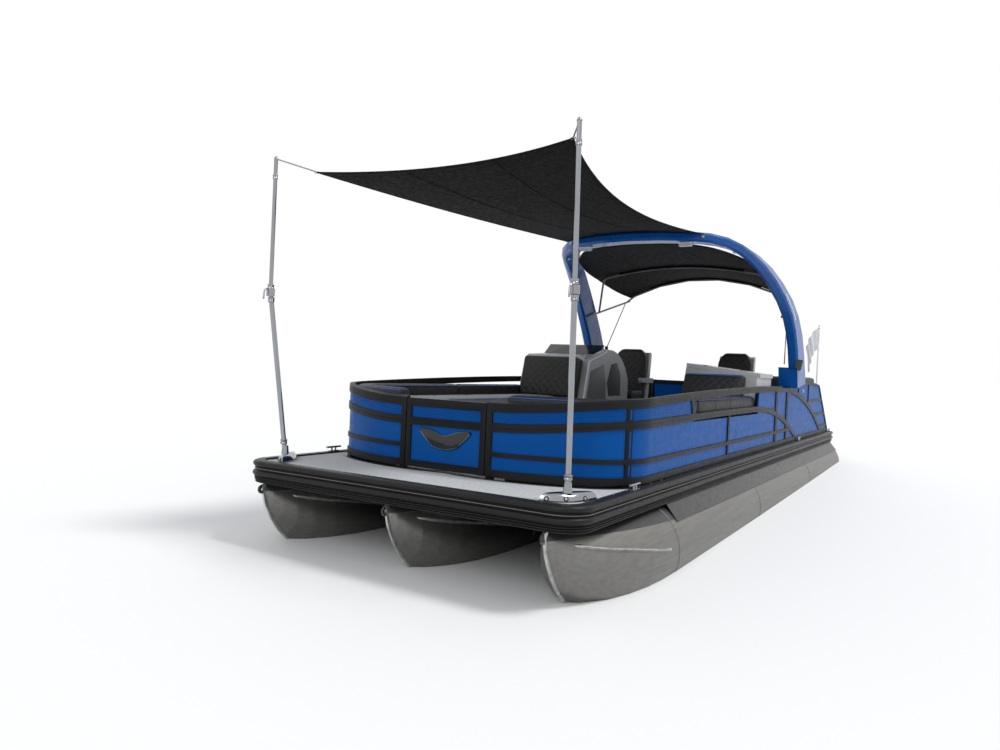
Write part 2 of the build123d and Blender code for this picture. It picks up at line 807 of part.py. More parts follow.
save(side_solid(((180, 905.3), (150, 905.3), (20, 1005), (40, 1010)), helm_outer + 30, helm_inner - shield_width - 20),
     "windscreen")

# Steering wheel: rim, hub, spokes and the stub of its column
spoke_count = 3
spoke_width = 26
spoke_thickness = 8
hub_radius = 42
hub_depth = 30
rim_sides = 10
wheel_plane = Plane(origin=wheel_centre, x_dir=(0, 1, 0), z_dir=wheel_axis)
column_length = (Vector(*wheel_centre) - dash_point).dot(axle) - boss_height - pin_gap
with BuildPart() as steering_wheel:
    with BuildSketch(Plane(origin=wheel_plane.origin, x_dir=wheel_plane.x_dir, z_dir=wheel_plane.y_dir)):
        with Locations((wheel_radius, 0)):
            RegularPolygon(wheel_rim, rim_sides)
    revolve(axis=Axis(wheel_plane.origin, wheel_plane.z_dir))
    with BuildSketch(wheel_plane):
        Circle(hub_radius)
    extrude(amount=hub_depth / 2, both=True)
    with BuildSketch(wheel_plane):
        with PolarLocations(wheel_radius / 2, spoke_count, start_angle=-90):
            Rectangle(wheel_radius, spoke_width)
    extrude(amount=spoke_thickness / 2, both=True)
    with BuildSketch(wheel_plane):
        Circle(column_radius)
    extrude(amount=-column_length)
save(steering_wheel.part, "steering_wheel")

# Port console: a cabinet with a thick slab top that slopes down towards the fence
slab_inner = 850             # height above the deck at the aisle
slab_outer = 770
slab_depth = 42
slab_front = -95
console_front = 60
slab_edge = 12               # how far the slab stands over the cabinet
cup_places = ((-210, 600), (-210, 980))
cup_radius = 41
cup_depth = 30


def across_solid(points, back, front):
    """A view from behind, above the deck, carried forward from one place to another."""
    return plate(Plane.YZ.offset(back), [(y, deck_top + height) for y, height in points], front - back)


def lid_height(side):
    """Height of the slab's top above the deck at a distance from the centreline."""
    return slab_inner - (slab_inner - slab_outer) * (side - port_inner) / (port_outer - port_inner)


lid_sides = (port_inner - slab_edge, port_outer + slab_edge)
console_lid = across_solid([(side, lid_height(side) - drop) for side, drop in (
    (lid_sides[0], 0), (lid_sides[0], slab_depth), (lid_sides[1], slab_depth), (lid_sides[1], 0))],
    console_back - slab_edge, slab_front)
cabinet_top = across_solid(((port_inner, seat_gap), (port_inner, slab_inner - slab_depth - seat_gap),
                            (port_outer, slab_outer - slab_depth - seat_gap), (port_outer, seat_gap)),
                           console_back, console_front)
with BuildPart() as port_console:
    add(cabinet_top)
    with BuildSketch(Plane.XZ.offset(-port_inner + 1)):
        with BuildLine():
            Polyline(*above_deck((console_front, slab_inner), (console_front - 120, slab_inner),
                                 (console_front, seat_height + cushion_depth)), close=True)
        make_face()
    extrude(amount=port_inner - port_outer - 2, mode=Mode.SUBTRACT)
save(port_console.part, "port_console")
with BuildPart() as console_top:
    add(console_lid)
    for place, side in cup_places:
        with BuildSketch(Plane.XY.offset(deck_top + lid_height(side) - cup_depth)):
            with Locations((place, side)):
                Circle(cup_radius)
        extrude(amount=2 * cup_depth, mode=Mode.SUBTRACT)
save(console_top.part, "port_console_top")


# Chairs: a pedestal bolted to the deck, and a swivelling shell with arms and cushions
base_radius = 150
base_height = 12
arm_width = 50
pan_view = ((-210, 332), (190, 332), (262, 375), (262, 418), (-170, 418), (-262, 960), (-300, 985), (-338, 960),
            (-268, 400))
arm_view = ((-295, 608), (60, 608), (92, 640), (60, 668), (-300, 668))
seat_view = ((-76, 418.3), (258, 418.3), (276, 465), (250, 515), (-92, 515))
lumbar_view = ((-169.5, 418.3), (-80, 418.3), (-170, 1000), (-205, 1022), (-250, 1015), (-261, 962))


def pedestal(place):
    return joined(post(base_radius, place, seat_gap, base_height), post(pedestal_radius, place, seat_gap, pedestal_height))


def chair(place):
    """Shell and cushions of a chair that faces forward."""
    forward, side = place

    def across(view, right, left):
        return side_solid([(forward + x, height) for x, height in view], side + right, side + left)

    half = chair_width / 2 - arm_width
    with BuildPart() as shell:
        add(across(pan_view, -half, half))
        for hand in (-1, 1):
            add(across(arm_view, min(hand * half, hand * (half + arm_width)), max(hand * half, hand * (half + arm_width))))
        fillet(shell.edges().filter_by(Axis.Y).group_by(Axis.Z)[-1], 15)
        add(post(pedestal_radius + 20, place, pedestal_height + seat_gap, pan_view[0][1] + 1))
    cushions = joined(across(seat_view, -half + 8, half - 8), across(lumbar_view, -half + 8, half - 8))
    return shell.part, cushions


save(joined(pedestal(helm_chair_place), pedestal(port_chair_place)), "chair_pedestals")
for name, place in (("helm_chair", helm_chair_place), ("port_chair", port_chair_place)):
    shell, cushions = chair(place)
    save(shell, name)
    save(cushions, name + "_cushions")

# Stern lounge: an L of benches in front of the stern fence
lounge_front = -2200         # front end of the port bench
lounge_depth = 525
lounge_right = -480
lounge_back = stern_fence + bench_inset
lounge_left = fence_side - bench_inset
lounge_back_height = 760


def lounge_outline(front, right, inset):
    """Plan of the L, with its back and outer edges drawn in by an inset."""
    with BuildSketch() as plan:
        with BuildLine():
            Polyline((front, lounge_left - inset), (lounge_back + inset, lounge_left - inset),
                     (lounge_back + inset, right), (lounge_back + lounge_depth, right),
                     (lounge_back + lounge_depth, lounge_left - lounge_depth), (front, lounge_left - lounge_depth),
                     close=True)
        make_face()
    return plan.sketch


def split_at(outline, place, low, high):
    """A plan outline raised in two pieces with a joint across the boat."""
    with BuildSketch() as ahead:
        with Locations((place + hull_front / 2, 0)):
            Rectangle(hull_front, beam)
    with BuildSketch() as joint:
        with Locations((place - soft_gap / 2, 0)):
            Rectangle(soft_gap, beam)
    return joined(slab(without(outline, ahead.sketch, joint.sketch), low, high), slab(shared(outline, ahead.sketch), low, high))


whole_lounge = lounge_outline(lounge_front, lounge_right, 0)
lounge_seat = lounge_outline(lounge_front, lounge_right, back_thickness + soft_gap)
lounge_rest = without(whole_lounge, lounge_outline(lounge_front, lounge_right, back_thickness))
save(slab(whole_lounge, seat_gap, seat_height), "stern_lounge_base")
save(joined(split_at(lounge_seat, lounge_back + lounge_depth + soft_gap, seat_height + seat_gap, seat_height + cushion_depth),
            slab(lounge_rest, seat_height + seat_gap, lounge_back_height)), "stern_lounge_cushions")

# Arch: each leg leans forward and turns into the bar overhead. Columns: place forward, from the centreline, height
# above the deck, width along the boat's side view, thickness
arch_sections = (
    (-1550, 1250, 712, 410, 110),
    (-1330, 1250, 1150, 350, 110),
    (-1020, 1215, 1500, 280, 110),
    (-570, 1110, 1800, 220, 104),
    (-120, 980, 1970, 200, 98),
    (230, 820, 2045, 200, 94),
    (450, 550, 2065, 210, 92),
    (560, 0, 2070, 220, 90),
)
arch_corner = 22
foot_inner = 1100
foot_outer = 1305
foot_top = 840
foot_lean = 75
post_top = 860
arch_stations = halfway(arch_sections + tuple((x, -y, *rest) for x, y, *rest in reversed(arch_sections[:-1])))
arch_points = [Vector(x, y, deck_top + height) for x, y, height, width, thickness in arch_stations]
arch_ways = [arch_points[1] - arch_points[0]]
arch_ways += [after - before for before, after in zip(arch_points, arch_points[2:])]
arch_ways += [arch_points[-1] - arch_points[-2]]
with BuildPart() as arch_bar:
    for point, way, section in zip(arch_points, arch_ways, arch_stations):
        across_way = Vector(1, 0, 0) - way * (way.X / way.length**2)
        with BuildSketch(Plane(origin=point, x_dir=across_way, z_dir=way)):
            eight_sides(section[3] / 2, -section[3] / 2, section[4], arch_corner)
    loft(ruled=True)
    with BuildSketch(Plane.XZ):
        offset(side_area.sketch, amount=seat_gap)
    extrude(amount=beam, both=True, mode=Mode.SUBTRACT)


def side_view(*points):
    """A flat side view of straight edges, above the deck."""
    with BuildSketch() as view:
        with BuildLine():
            Polyline(*above_deck(*points), close=True)
        make_face()
    return view.sketch


# Each leg stands in a foot that bears on the fence's top edge and reaches down its inner side to the deck
with BuildSketch() as foot_view:
    add(side_view((-1322, 560), (-1322 + foot_lean, foot_top), (-1785 + foot_lean, foot_top), (-1785, 560)))
    offset(side_area.sketch, amount=seat_gap, mode=Mode.SUBTRACT)
post_view = side_view((-1780, seat_gap), (-1322, seat_gap), (-1322, 560), (-1322 + foot_lean, foot_top),
                      (-1240, post_top), (-1755, post_top), (-1780, foot_top))
with BuildPart() as arch_foot:
    with BuildSketch(Plane.XZ.offset(seat_gap - inner_side)):
        add(foot_view.sketch)
    extrude(amount=inner_side - seat_gap - foot_outer)
    with BuildSketch(Plane.XZ.offset(seat_gap - inner_side)):
        add(post_view)
    extrude(amount=inner_side - seat_gap - foot_inner)
save(joined(arch_bar.part, arch_foot.part, mirrored(arch_foot.part)), "arch")

# Lamps under the arch's bar
lamp_places = ((465, -535), (465, 535))
lamp_size = (70, 150)
lamp_top = 2016
lamp_depth = 36
with BuildPart() as arch_lamps:
    with BuildSketch(Plane.XY.offset(deck_top + lamp_top)):
        with Locations(*lamp_places):
            RectangleRounded(*lamp_size, lamp_size[0] / 2 - 1)
    extrude(amount=-lamp_depth, taper=12)
save(arch_lamps.part, "arch_lamps")

# Canopy: a thin curved cover behind the bar. Columns: place forward, height at the crown and at the reach each side
canopy_sections = ((470, 2040, 1995), (-120, 2030, 1930), (-960, 2000, 1860), (-1960, 1972, 1700))
canopy_reach = 1050
cloth_thickness = 8
canopy_front = ((340, -520), (430, 0), (340, 520))
canopy_edge = ((225, 680), (-60, 855), (-350, 950), (-570, 1000), (-960, 1035), (-1500, 1030), (-1940, 990))
with BuildPart() as canopy:
    for place, crown, edge in canopy_sections:
        with BuildSketch(Plane.YZ.offset(place)):
            with BuildLine():
                ThreePointArc((-canopy_reach, deck_top + edge), (0, deck_top + crown), (canopy_reach, deck_top + edge))
                Line((canopy_reach, deck_top + edge), (canopy_reach, deck_top + edge - cloth_thickness))
                ThreePointArc((canopy_reach, deck_top + edge - cloth_thickness),
                              (0, deck_top + crown - cloth_thickness),
                              (-canopy_reach, deck_top + edge - cloth_thickness))
                Line((-canopy_reach, deck_top + edge - cloth_thickness), (-canopy_reach, deck_top + edge))
            make_face()
    loft(ruled=True)
    with BuildSketch(Plane.XY.offset(deck_top)):
        with BuildLine():
            ThreePointArc(*canopy_front)
            Polyline(canopy_front[2], *canopy_edge, *((x, -y) for x, y in reversed(canopy_edge)), canopy_front[0])
        make_face()
    extrude(amount=2 * canopy_sections[0][1], mode=Mode.INTERSECT)
save(canopy.part, "canopy")

# Canopy frame: an arm from each arch leg, two bows across and a strut from each arm down to the foot post
tube_size = 12
arm_pivot = (-985, 1164, 1405)
arm_end = (-1985, canopy_reach - 20, 1690)
bow_bend = 110
strut_foot = (-1400, 1130, post_top + 40)
# Bows: share of the arm's length at the foot, place forward, half width at the bend
bows = ((0.25, -940, canopy_reach - 100), (0.93, -1900, canopy_reach - 120))
bow_shares = (1, 0.62, 0.21)


def on_boat(x, y, height):
    return x, y, deck_top + height


def along(start, end, share):
    return tuple(a + (b - a) * share for a, b in zip(start, end))


def port_and_starboard(piece):
    return joined(piece, mirrored(piece))


def under_cloth(place, side):
    """Height above the deck of a tube's centre that bears on the cover from below."""
    for front, back in zip(canopy_sections, canopy_sections[1:]):
        if back[0] <= place <= front[0]:
            share = (place - front[0]) / (back[0] - front[0])
            crown, edge = along(front[1:], back[1:], share)
    radius = circle_rise(canopy_reach, crown - edge)
    lean = sqrt(radius**2 - side**2)
    return crown - radius + lean - cloth_thickness - tube_size * radius / lean - 2 * seat_gap


frame_pieces = [port_and_starboard(joined(rod(tube_size, on_boat(*arm_pivot), on_boat(*arm_end)),
                                          rod(tube_size / 2, on_boat(*along(arm_pivot, arm_end, 0.9)), on_boat(*strut_foot))))]
for share, place, half in bows:
    port_run = [on_boat(*along(arm_pivot, arm_end, share))]
    port_run += [on_boat(place, side * half, under_cloth(place, side * half)) for side in bow_shares]
    frame_pieces.append(rod(tube_size, *port_run, *((x, -y, z) for x, y, z in reversed(port_run)), bend=bow_bend))
save(joined(*frame_pieces), "canopy_frame")

# Masts: a lower tube, a thinner upper tube and the lock between them. Columns: top of the lower tube, top
mast_foot = (3958, 1108)
casting_height = 48
socket_radius = 27
socket_height = 60
lock_radius = 29
lock_height = 52
masts = (
    ("mast_port", (3958, 1108), (3962, 1098, 1165), (3972, 1086, 2090)),
    ("mast_starboard", (3958, -1108), (4068, -1196, 1170), (4072, -1190, 2095)),
)
casting_ends = ((4088, 992), (3770, 1202))
casting_bulge = (3978, 1142)
casting_hollow = (3905, 1062)
with BuildPart() as casting:
    with BuildSketch(Plane.XY.offset(deck_top + seat_gap)):
        with BuildLine():
            ThreePointArc(casting_ends[0], casting_bulge, casting_ends[1])
            ThreePointArc(casting_ends[1], casting_hollow, casting_ends[0])
        make_face()
    extrude(amount=casting_height, taper=14)
save(port_and_starboard(casting.part), "mast_castings")
for name, foot, joint, top in masts:
    low, middle, high = (Vector(*foot, deck_top + casting_height + 2 * seat_gap), Vector(on_boat(*joint)),
                         Vector(on_boat(*top)))
    lower_way = (middle - low).normalized()
    upper_way = (high - middle).normalized()
    with BuildPart() as mast:
        with BuildSketch(Plane.XY.offset(low.Z)):
            with Locations(foot):
                Circle(socket_radius)
        extrude(amount=socket_height, taper=6)
        with BuildSketch(Plane(origin=low + lower_way * mast_radius, z_dir=lower_way)):
            Circle(mast_radius)
        extrude(amount=(middle - low).length - mast_radius)
        with BuildSketch(Plane(origin=middle - upper_way * lock_height / 2, z_dir=upper_way)):
            Circle(lock_radius)
        extrude(amount=lock_height)
        with BuildSketch(Plane(origin=middle, z_dir=upper_way)):
            Circle(mast_top_radius)
        extrude(amount=(high - middle).length)
        with BuildSketch(Plane(origin=high, z_dir=upper_way)):
            Circle(mast_radius)
        extrude(amount=mast_radius, taper=30)
    save(mast.part, name)

# Sail: hollow edges in plan and a sagging side view, held by a line at each front corner
sail_front = (3870, 1000)
sail_back = (500, 730)
sail_front_middle = (3690, 0)
sail_side_middle = (2250, 690)
sail_back_middle = (600, 0)
sail_profile = ((490, 2138.2), (2200, 1985), (3900, 2030))
line_radius = 5
with BuildPart() as sail:
    with BuildSketch(Plane.XZ):
        with BuildLine():
            ThreePointArc(*above_deck(*sail_profile))
            ThreePointArc(*above_deck(*((x, height + cloth_thickness) for x, height in reversed(sail_profile))))
            Line(*above_deck(sail_profile[0], (sail_profile[0][0], sail_profile[0][1] + cloth_thickness)))
            Line(*above_deck(sail_profile[2], (sail_profile[2][0], sail_profile[2][1] + cloth_thickness)))
        make_face()
    extrude(amount=beam / 2, both=True)
    with BuildSketch(Plane.XY.offset(deck_top)):
        with BuildLine():
            ThreePointArc((sail_back[0], -sail_back[1]), sail_back_middle, sail_back)
            ThreePointArc(sail_back, sail_side_middle, sail_front)
            ThreePointArc(sail_front, sail_front_middle, (sail_front[0], -sail_front[1]))
            ThreePointArc((sail_front[0], -sail_front[1]), (sail_side_middle[0], -sail_side_middle[1]),
                          (sail_back[0], -sail_back[1]))
        make_face()
    extrude(amount=2 * sail_profile[0][1], mode=Mode.INTERSECT)
save(sail.part, "sail")
sail_lines = []
for name, foot, joint, top in masts:
    hand = 1 if foot[1] > 0 else -1
    head = Vector(on_boat(*top))
    corner = Vector(sail_front[0], hand * sail_front[1], deck_top + sail_profile[2][1] + cloth_thickness / 2)
    way = (corner - head).normalized()
    start = (mast_top_radius + 3 * seat_gap + line_radius * abs(way.Z)) / hypot(way.X, way.Y)
    end = seat_gap + cloth_thickness / 2 * abs(way.Z)
    sail_lines.append(rod(line_radius, tuple(head + way * start), tuple(corner - way * end)))
save(joined(*sail_lines), "sail_lines")

# Flag: a staff on the stern deck and the folded cloth that hangs from it
staff_place = (-4070, 1050)
staff_radius = 11
staff_height = 1520
with BuildPart() as flag_staff:
    add(post(staff_radius, staff_place, seat_gap, staff_height))
    add(post(2.2 * staff_radius, staff_place, seat_gap, 30))
    with Locations((*staff_place, deck_top + staff_height)):
        Sphere(1.4 * staff_radius)
save(flag_staff.part, "flag_staff")
flag_way = (0.527, -0.85, 0)
flag_edge = staff_radius + seat_gap
flag_outline = ((flag_edge, 1495), (flag_edge, 850), (170, 880), (195, 1100), (60, 1440))
flag_thickness = 22
with BuildPart() as flag:
    with BuildSketch(Plane(origin=(*staff_place, deck_top), x_dir=flag_way, z_dir=(flag_way[1], -flag_way[0], 0))):
        with BuildLine():
            Polyline(*((x, height) for x, height in flag_outline), close=True)
        make_face()
    extrude(amount=flag_thickness / 2, both=True)
save(flag.part, "flag")

# Outboard motor, from the boat outwards: clamp bracket, swivel bracket, leg with its gearcase, cowl and propeller
tilt_pin = 14
clamp_inner = 110
clamp_thickness = 25
clamp_head = 65
swivel_half = 85
yoke_radius = 60
with BuildPart() as clamp_bracket:
    for side in (clamp_inner, -clamp_inner - clamp_thickness):
        with BuildSketch(Plane.XZ.offset(-side)):
            with BuildLine():
                Polyline((transom - seat_gap, 60), (transom - seat_gap, tilt_height), (tilt_place - clamp_head, tilt_height),
                         (tilt_place - clamp_head, 240), (transom - 60, 60), close=True)
            make_face()
            with Locations((tilt_place, tilt_height)):
                Circle(clamp_head)
        extrude(amount=-clamp_thickness)
    with BuildSketch(Plane.XZ.offset(-clamp_inner - clamp_thickness - 10)):
        with Locations((tilt_place, tilt_height)):
            Circle(tilt_pin)
    extrude(amount=2 * (clamp_inner + clamp_thickness + 10))
save(clamp_bracket.part, "clamp_bracket")
swivel_low = 60
swivel_high = 430
steer_pin = 18
with BuildPart() as swivel_bracket:
    with BuildSketch(Plane.XZ.offset(-swivel_half)) as swivel_view:
        with BuildLine():
            Polyline((tilt_place + 44, 250), (tilt_place + 44, swivel_high), (steer_place - 30, swivel_high),
                     (steer_place - 30, swivel_low), (steer_place + 60, swivel_low), close=True)
        make_face()
        with Locations((tilt_place, tilt_height)):
            Circle(tilt_pin + pin_gap, mode=Mode.SUBTRACT)
    extrude(amount=2 * swivel_half)
    with BuildSketch(Plane.XY.offset(swivel_low)):
        with Locations((steer_place, 0)):
            Circle(steer_pin + pin_gap)
    extrude(amount=swivel_high - swivel_low, mode=Mode.SUBTRACT)
save(swivel_bracket.part, "swivel_bracket")

# Leg sections from the top yoke down: height over the water, front, back, width
leg_sections = ((470, -4420, -4690, 150), (60, -4425, -4670, 96), (-300, -4432, -4650, 74), (-460, -4440, -4630, 62))
leg_corner = 0.3             # corner cut as a share of the width
yokes = ((swivel_high + 7, 470), (20, swivel_low - 7))
plate_height = -290
plate_thickness = 12
yoke_back = -4480            # where the yokes end inside the leg
gearcase_radius = 60
gearcase_front = -4360
gearcase_back = prop_place + 5
shaft_radius = 12
skeg_outline = ((-4440, -530), (-4610, -530), (-4640, -700), (-4560, -700))
with BuildPart() as motor_leg:
    for height, front, back, width in leg_sections:
        with BuildSketch(Plane.XY.offset(height)):
            eight_sides(front, back, width, leg_corner * width)
    loft(ruled=True)
    for low, high in yokes:
        with BuildSketch(Plane.XY.offset(low)):
            with Locations((steer_place, 0)):
                Circle(yoke_radius)
            with Locations(((steer_place + yoke_back) / 2, 0)):
                Rectangle(steer_place - yoke_back, 1.2 * yoke_radius)
        extrude(amount=high - low)
    with BuildSketch(Plane.XY.offset(yokes[1][0])):
        with Locations((steer_place, 0)):
            Circle(steer_pin)
    extrude(amount=yokes[0][1] - yokes[1][0])
    with BuildSketch(Plane.XY.offset(plate_height)):
        with Locations((-4550, 0)):
            RectangleRounded(330, 240, 50)
    extrude(amount=plate_thickness)
    with BuildSketch(Plane.XY.offset(prop_height)):
        with BuildLine():
            Polyline((gearcase_back, 0), (gearcase_back, gearcase_radius - 8), (gearcase_front - 120, gearcase_radius),
                     (gearcase_front - 60, 0.84 * gearcase_radius), (gearcase_front - 20, 0.5 * gearcase_radius),
                     (gearcase_front, 0), close=True)
        make_face()
    revolve(axis=Axis((0, 0, prop_height), (1, 0, 0)))
    with BuildSketch(Plane.XZ):
        with BuildLine():
            Polyline(*skeg_outline, close=True)
        make_face()
    extrude(amount=plate_thickness / 2, both=True)
    with BuildSketch(Plane.YZ.offset(gearcase_back - 130)):
        with Locations((0, prop_height)):
            Circle(shaft_radius)
    extrude(amount=140)
save(motor_leg.part, "motor_leg")

# Cowl sections: height over the water, front, back, width, corner
cowl_sections = ((470.3, -4240, -4700, 300, 70), (560, -4200, -4765, 384, 80), (720, -4190, -4775, 400, 85),
                 (900, -4212, -4762, 380, 85), (1040, -4290, -4690, 300, 80), (1080, -4350, -4630, 200, 60))
with BuildPart() as motor_cowl:
    for height, front, back, width, corner in cowl_sections:
        with BuildSketch(Plane.XY.offset(height)):
            eight_sides(front, back, width, corner)
    loft(ruled=True)
save(motor_cowl.part, "motor_cowl")

# Propeller: three blades on a hub that rides on the shaft
blade_count = 3
blade_pitch = 32
hub_size = 55
hub_length = 115
blade_middle = 112
blade_size = (80, 60)
blade_thickness = 7
with BuildPart() as propeller:
    with BuildSketch(Plane.YZ.offset(prop_place - hub_length)):
        with Locations((0, prop_height)):
            Circle(hub_size)
            Circle(shaft_radius + pin_gap, mode=Mode.SUBTRACT)
    extrude(amount=hub_length)
    for index in range(blade_count):
        turn = radians(360 * index / blade_count + 90)
        out = Vector(0, cos(turn), sin(turn))
        side = Vector(0, -sin(turn), cos(turn))
        face = Vector(cos(radians(blade_pitch)), 0, 0) + side * sin(radians(blade_pitch))
        centre = Vector(prop_place - hub_length / 2, 0, prop_height) + out * blade_middle
        with BuildSketch(Plane(origin=centre, x_dir=out, z_dir=face)):
            Ellipse(*blade_size)
        extrude(amount=blade_thickness / 2, both=True)
    with BuildSketch(Plane.YZ.offset(prop_place - hub_length - 1)):
        with Locations((0, prop_height)):
            Circle(shaft_radius + pin_gap)
    extrude(amount=hub_length + 2, mode=Mode.SUBTRACT)
save(propeller.part, "propeller")

# Boarding ladder, folded forward on the stern deck, and the section that slides out of its rails
ladder_side = 800
ladder_half = 160
ladder_hinge = (-4245, deck_top + 36)
ladder_length = 560
ladder_rail = 14
ladder_bore = 10.5
slide_rail = 10
slide_start = 100            # inner end of the sliding rails, from the hinge
end_tread = 592              # middle of the last tread, from the hinge
tread_places = (160, 350)
tread_width = 56
tread_thickness = 14
hinge_pin = 6
pin_length = 22
bracket_thickness = 9
bracket_side = ladder_half + ladder_rail + pin_gap + bracket_thickness / 2
bracket_eye = 18
bracket_foot = (-4010, -4140)
bracket_low = deck_top + rub_lip + 6


def ladder_pieces(radius, start, end, treads):
    """Two rails along the boat and the treads between them, at distances from the hinge."""
    near, height = ladder_hinge
    rails = [rod(radius, (near + start, side, height), (near + end, side, height))
             for side in (ladder_side - ladder_half, ladder_side + ladder_half)]
    return rails + [block((near + place - tread_width / 2, near + place + tread_width / 2),
                          (ladder_side - ladder_half, ladder_side + ladder_half),
                          (height - tread_thickness / 2, height + tread_thickness / 2)) for place in treads]


with BuildPart() as ladder:
    add(joined(*ladder_pieces(ladder_rail, 0, ladder_length, tread_places)))
    with BuildSketch(Plane.XZ.offset(-ladder_side)):
        with Locations(ladder_hinge):
            Circle(ladder_rail)
    extrude(amount=ladder_half + ladder_rail, both=True)
    with BuildSketch(Plane.XZ.offset(-ladder_side)):
        with Locations(ladder_hinge):
            Circle(hinge_pin + pin_gap)
    extrude(amount=ladder_half + ladder_rail, both=True, mode=Mode.SUBTRACT)
    with BuildSketch(Plane.YZ.offset(ladder_hinge[0] + slide_start - 30)):
        with Locations((ladder_side - ladder_half, ladder_hinge[1]), (ladder_side + ladder_half, ladder_hinge[1])):
            Circle(ladder_bore)
    extrude(amount=ladder_length, mode=Mode.SUBTRACT)
save(ladder.part, "ladder")
save(joined(*ladder_pieces(slide_rail, slide_start, end_tread, (end_tread,))), "ladder_extension")
with BuildPart() as ladder_bracket:
    for hand in (-1, 1):
        with BuildSketch(Plane.XZ.offset(-ladder_side - hand * bracket_side)):
            with BuildLine():
                Polyline((bracket_foot[0], deck_top + seat_gap), (bracket_foot[1], deck_top + seat_gap),
                         (bracket_foot[1], bracket_low), (ladder_hinge[0], bracket_low),
                         (ladder_hinge[0], ladder_hinge[1] + bracket_eye), (bracket_foot[1], ladder_hinge[1]),
                         (bracket_foot[0], deck_top + bracket_thickness), close=True)
            make_face()
            with Locations(ladder_hinge):
                Circle(bracket_eye)
        extrude(amount=bracket_thickness / 2, both=True)
        with BuildSketch(Plane.XZ.offset(-ladder_side - hand * bracket_side)):
            with Locations(ladder_hinge):
                Circle(hinge_pin)
        extrude(amount=hand * pin_length)
save(ladder_bracket.part, "ladder_bracket")

# Cleats on the rub rail: a foot, two stems and the horn
cleat_places = (3330, -1820, -4050)
cleat_side = 1250
cleat_bottom = rub_lip + seat_gap
with BuildPart() as cleats:
    for place in cleat_places:
        for side in (-cleat_side, cleat_side):
            add(block((place - 50, place + 50), (side - 13, side + 13), (deck_top + cleat_bottom, deck_top + cleat_bottom + 6)))
            for reach in (-20, 20):
                add(post(7, (place + reach, side), cleat_bottom, cleat_bottom + 30))
            add(rod(8, (place - 75, side, deck_top + cleat_bottom + 32), (place + 75, side, deck_top + cleat_bottom + 32)))
save(cleats.part, "cleats")
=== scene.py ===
"""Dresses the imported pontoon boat: finishes, upholstery, cloth, trim, fittings, studio and camera."""

import math

import bmesh
import bpy
from mathutils import Matrix, Vector
from mathutils.bvhtree import BVHTree
from mathutils.kdtree import KDTree


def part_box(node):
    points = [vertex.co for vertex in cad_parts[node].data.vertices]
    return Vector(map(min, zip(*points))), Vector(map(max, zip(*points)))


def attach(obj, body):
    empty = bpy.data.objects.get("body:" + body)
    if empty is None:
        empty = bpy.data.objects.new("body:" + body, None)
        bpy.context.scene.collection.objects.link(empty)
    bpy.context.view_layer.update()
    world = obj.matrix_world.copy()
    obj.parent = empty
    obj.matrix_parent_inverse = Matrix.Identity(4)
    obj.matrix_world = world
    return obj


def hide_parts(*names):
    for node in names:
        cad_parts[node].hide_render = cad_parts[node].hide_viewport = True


bl_info = {
    "name": "Pontoon boat dressing",
    "version": (1, 0, 0),
    "blender": (4, 5, 0),
    "location": "View3D > Sidebar > Boat",
    "description": "Builds the visible pieces of a pontoon boat around its packed solids",
    "category": "Object",
}

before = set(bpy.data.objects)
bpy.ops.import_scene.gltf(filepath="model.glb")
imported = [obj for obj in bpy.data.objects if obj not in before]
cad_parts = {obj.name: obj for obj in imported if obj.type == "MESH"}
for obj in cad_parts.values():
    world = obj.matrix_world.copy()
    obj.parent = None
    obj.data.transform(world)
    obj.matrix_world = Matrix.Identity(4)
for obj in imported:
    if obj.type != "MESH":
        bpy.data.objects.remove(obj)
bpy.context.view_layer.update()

# Level of the deck over the water, and the two sides with the sign of their Y
DECK = 0.48
SIDES = (("port", 1), ("starboard", -1))


def colour(name, note, red, green, blue):
    """A colour that a user may change."""
    return bpy.props.FloatVectorProperty(name=name, description=note, default=(red, green, blue),
                                         subtype="COLOR", size=3, min=0, max=1)


def length(name, note, default):
    """A length that a user may change."""
    return bpy.props.FloatProperty(name=name, description=note, default=default,
                                   unit="LENGTH", subtype="DISTANCE")


class BoatColours(bpy.types.PropertyGroup):
    """Colours that a buyer of the boat would choose."""
    paint: colour("Panel paint", "Metallic blue of the fence panels and the arch", 0.0, 0.07, 0.29)
    rails: colour("Rails", "Satin charcoal of the fence rails and posts", 0.006, 0.0062, 0.007)
    metal: colour("Aluminium", "Brushed metal of the tubes and cross members", 0.20, 0.196, 0.185)
    mat: colour("Deck mat", "Woven light grey mat of the deck", 0.52, 0.53, 0.54)
    vinyl: colour("Dark vinyl", "Black leather grain of seats and backs", 0.010, 0.0105, 0.0115)
    vinyl_light: colour("Grey vinyl", "Grey leather grain of the seat panels", 0.12, 0.125, 0.13)
    moulding: colour("Moulding", "Silver moulding of the consoles", 0.36, 0.37, 0.38)
    cloth: colour("Shade cloth", "Black acrylic cloth of the sail and the canopy", 0.0035, 0.0035, 0.004)


class BoatSizes(bpy.types.PropertyGroup):
    """Sizes of the trim that a user may want to change."""
    piping: length("Piping", "Radius of the blue piping on the cushions", 0.0035)
    seam: length("Seam", "Radius of a sewn seam on the shade cloth", 0.003)
    rib: length("Rib", "Height of one rib of the fence's upper band", 0.0075)
    swell: length("Swell", "How far a cushion's faces crown", 0.012)
    voxel: length("Cushion grid", "Grid that a cushion is stuffed on", 0.018)
    weld: length("Weld", "Radius of the weld beads round the tubes", 0.0035)


# Finishes


def put(tree, kind, **values):
    """A shader node with its settings or socket values."""
    node = tree.nodes.new("ShaderNode" + kind)
    for key, value in values.items():
        if key in node.inputs:
            node.inputs[key].default_value = value
        else:
            setattr(node, key, value)
    return node


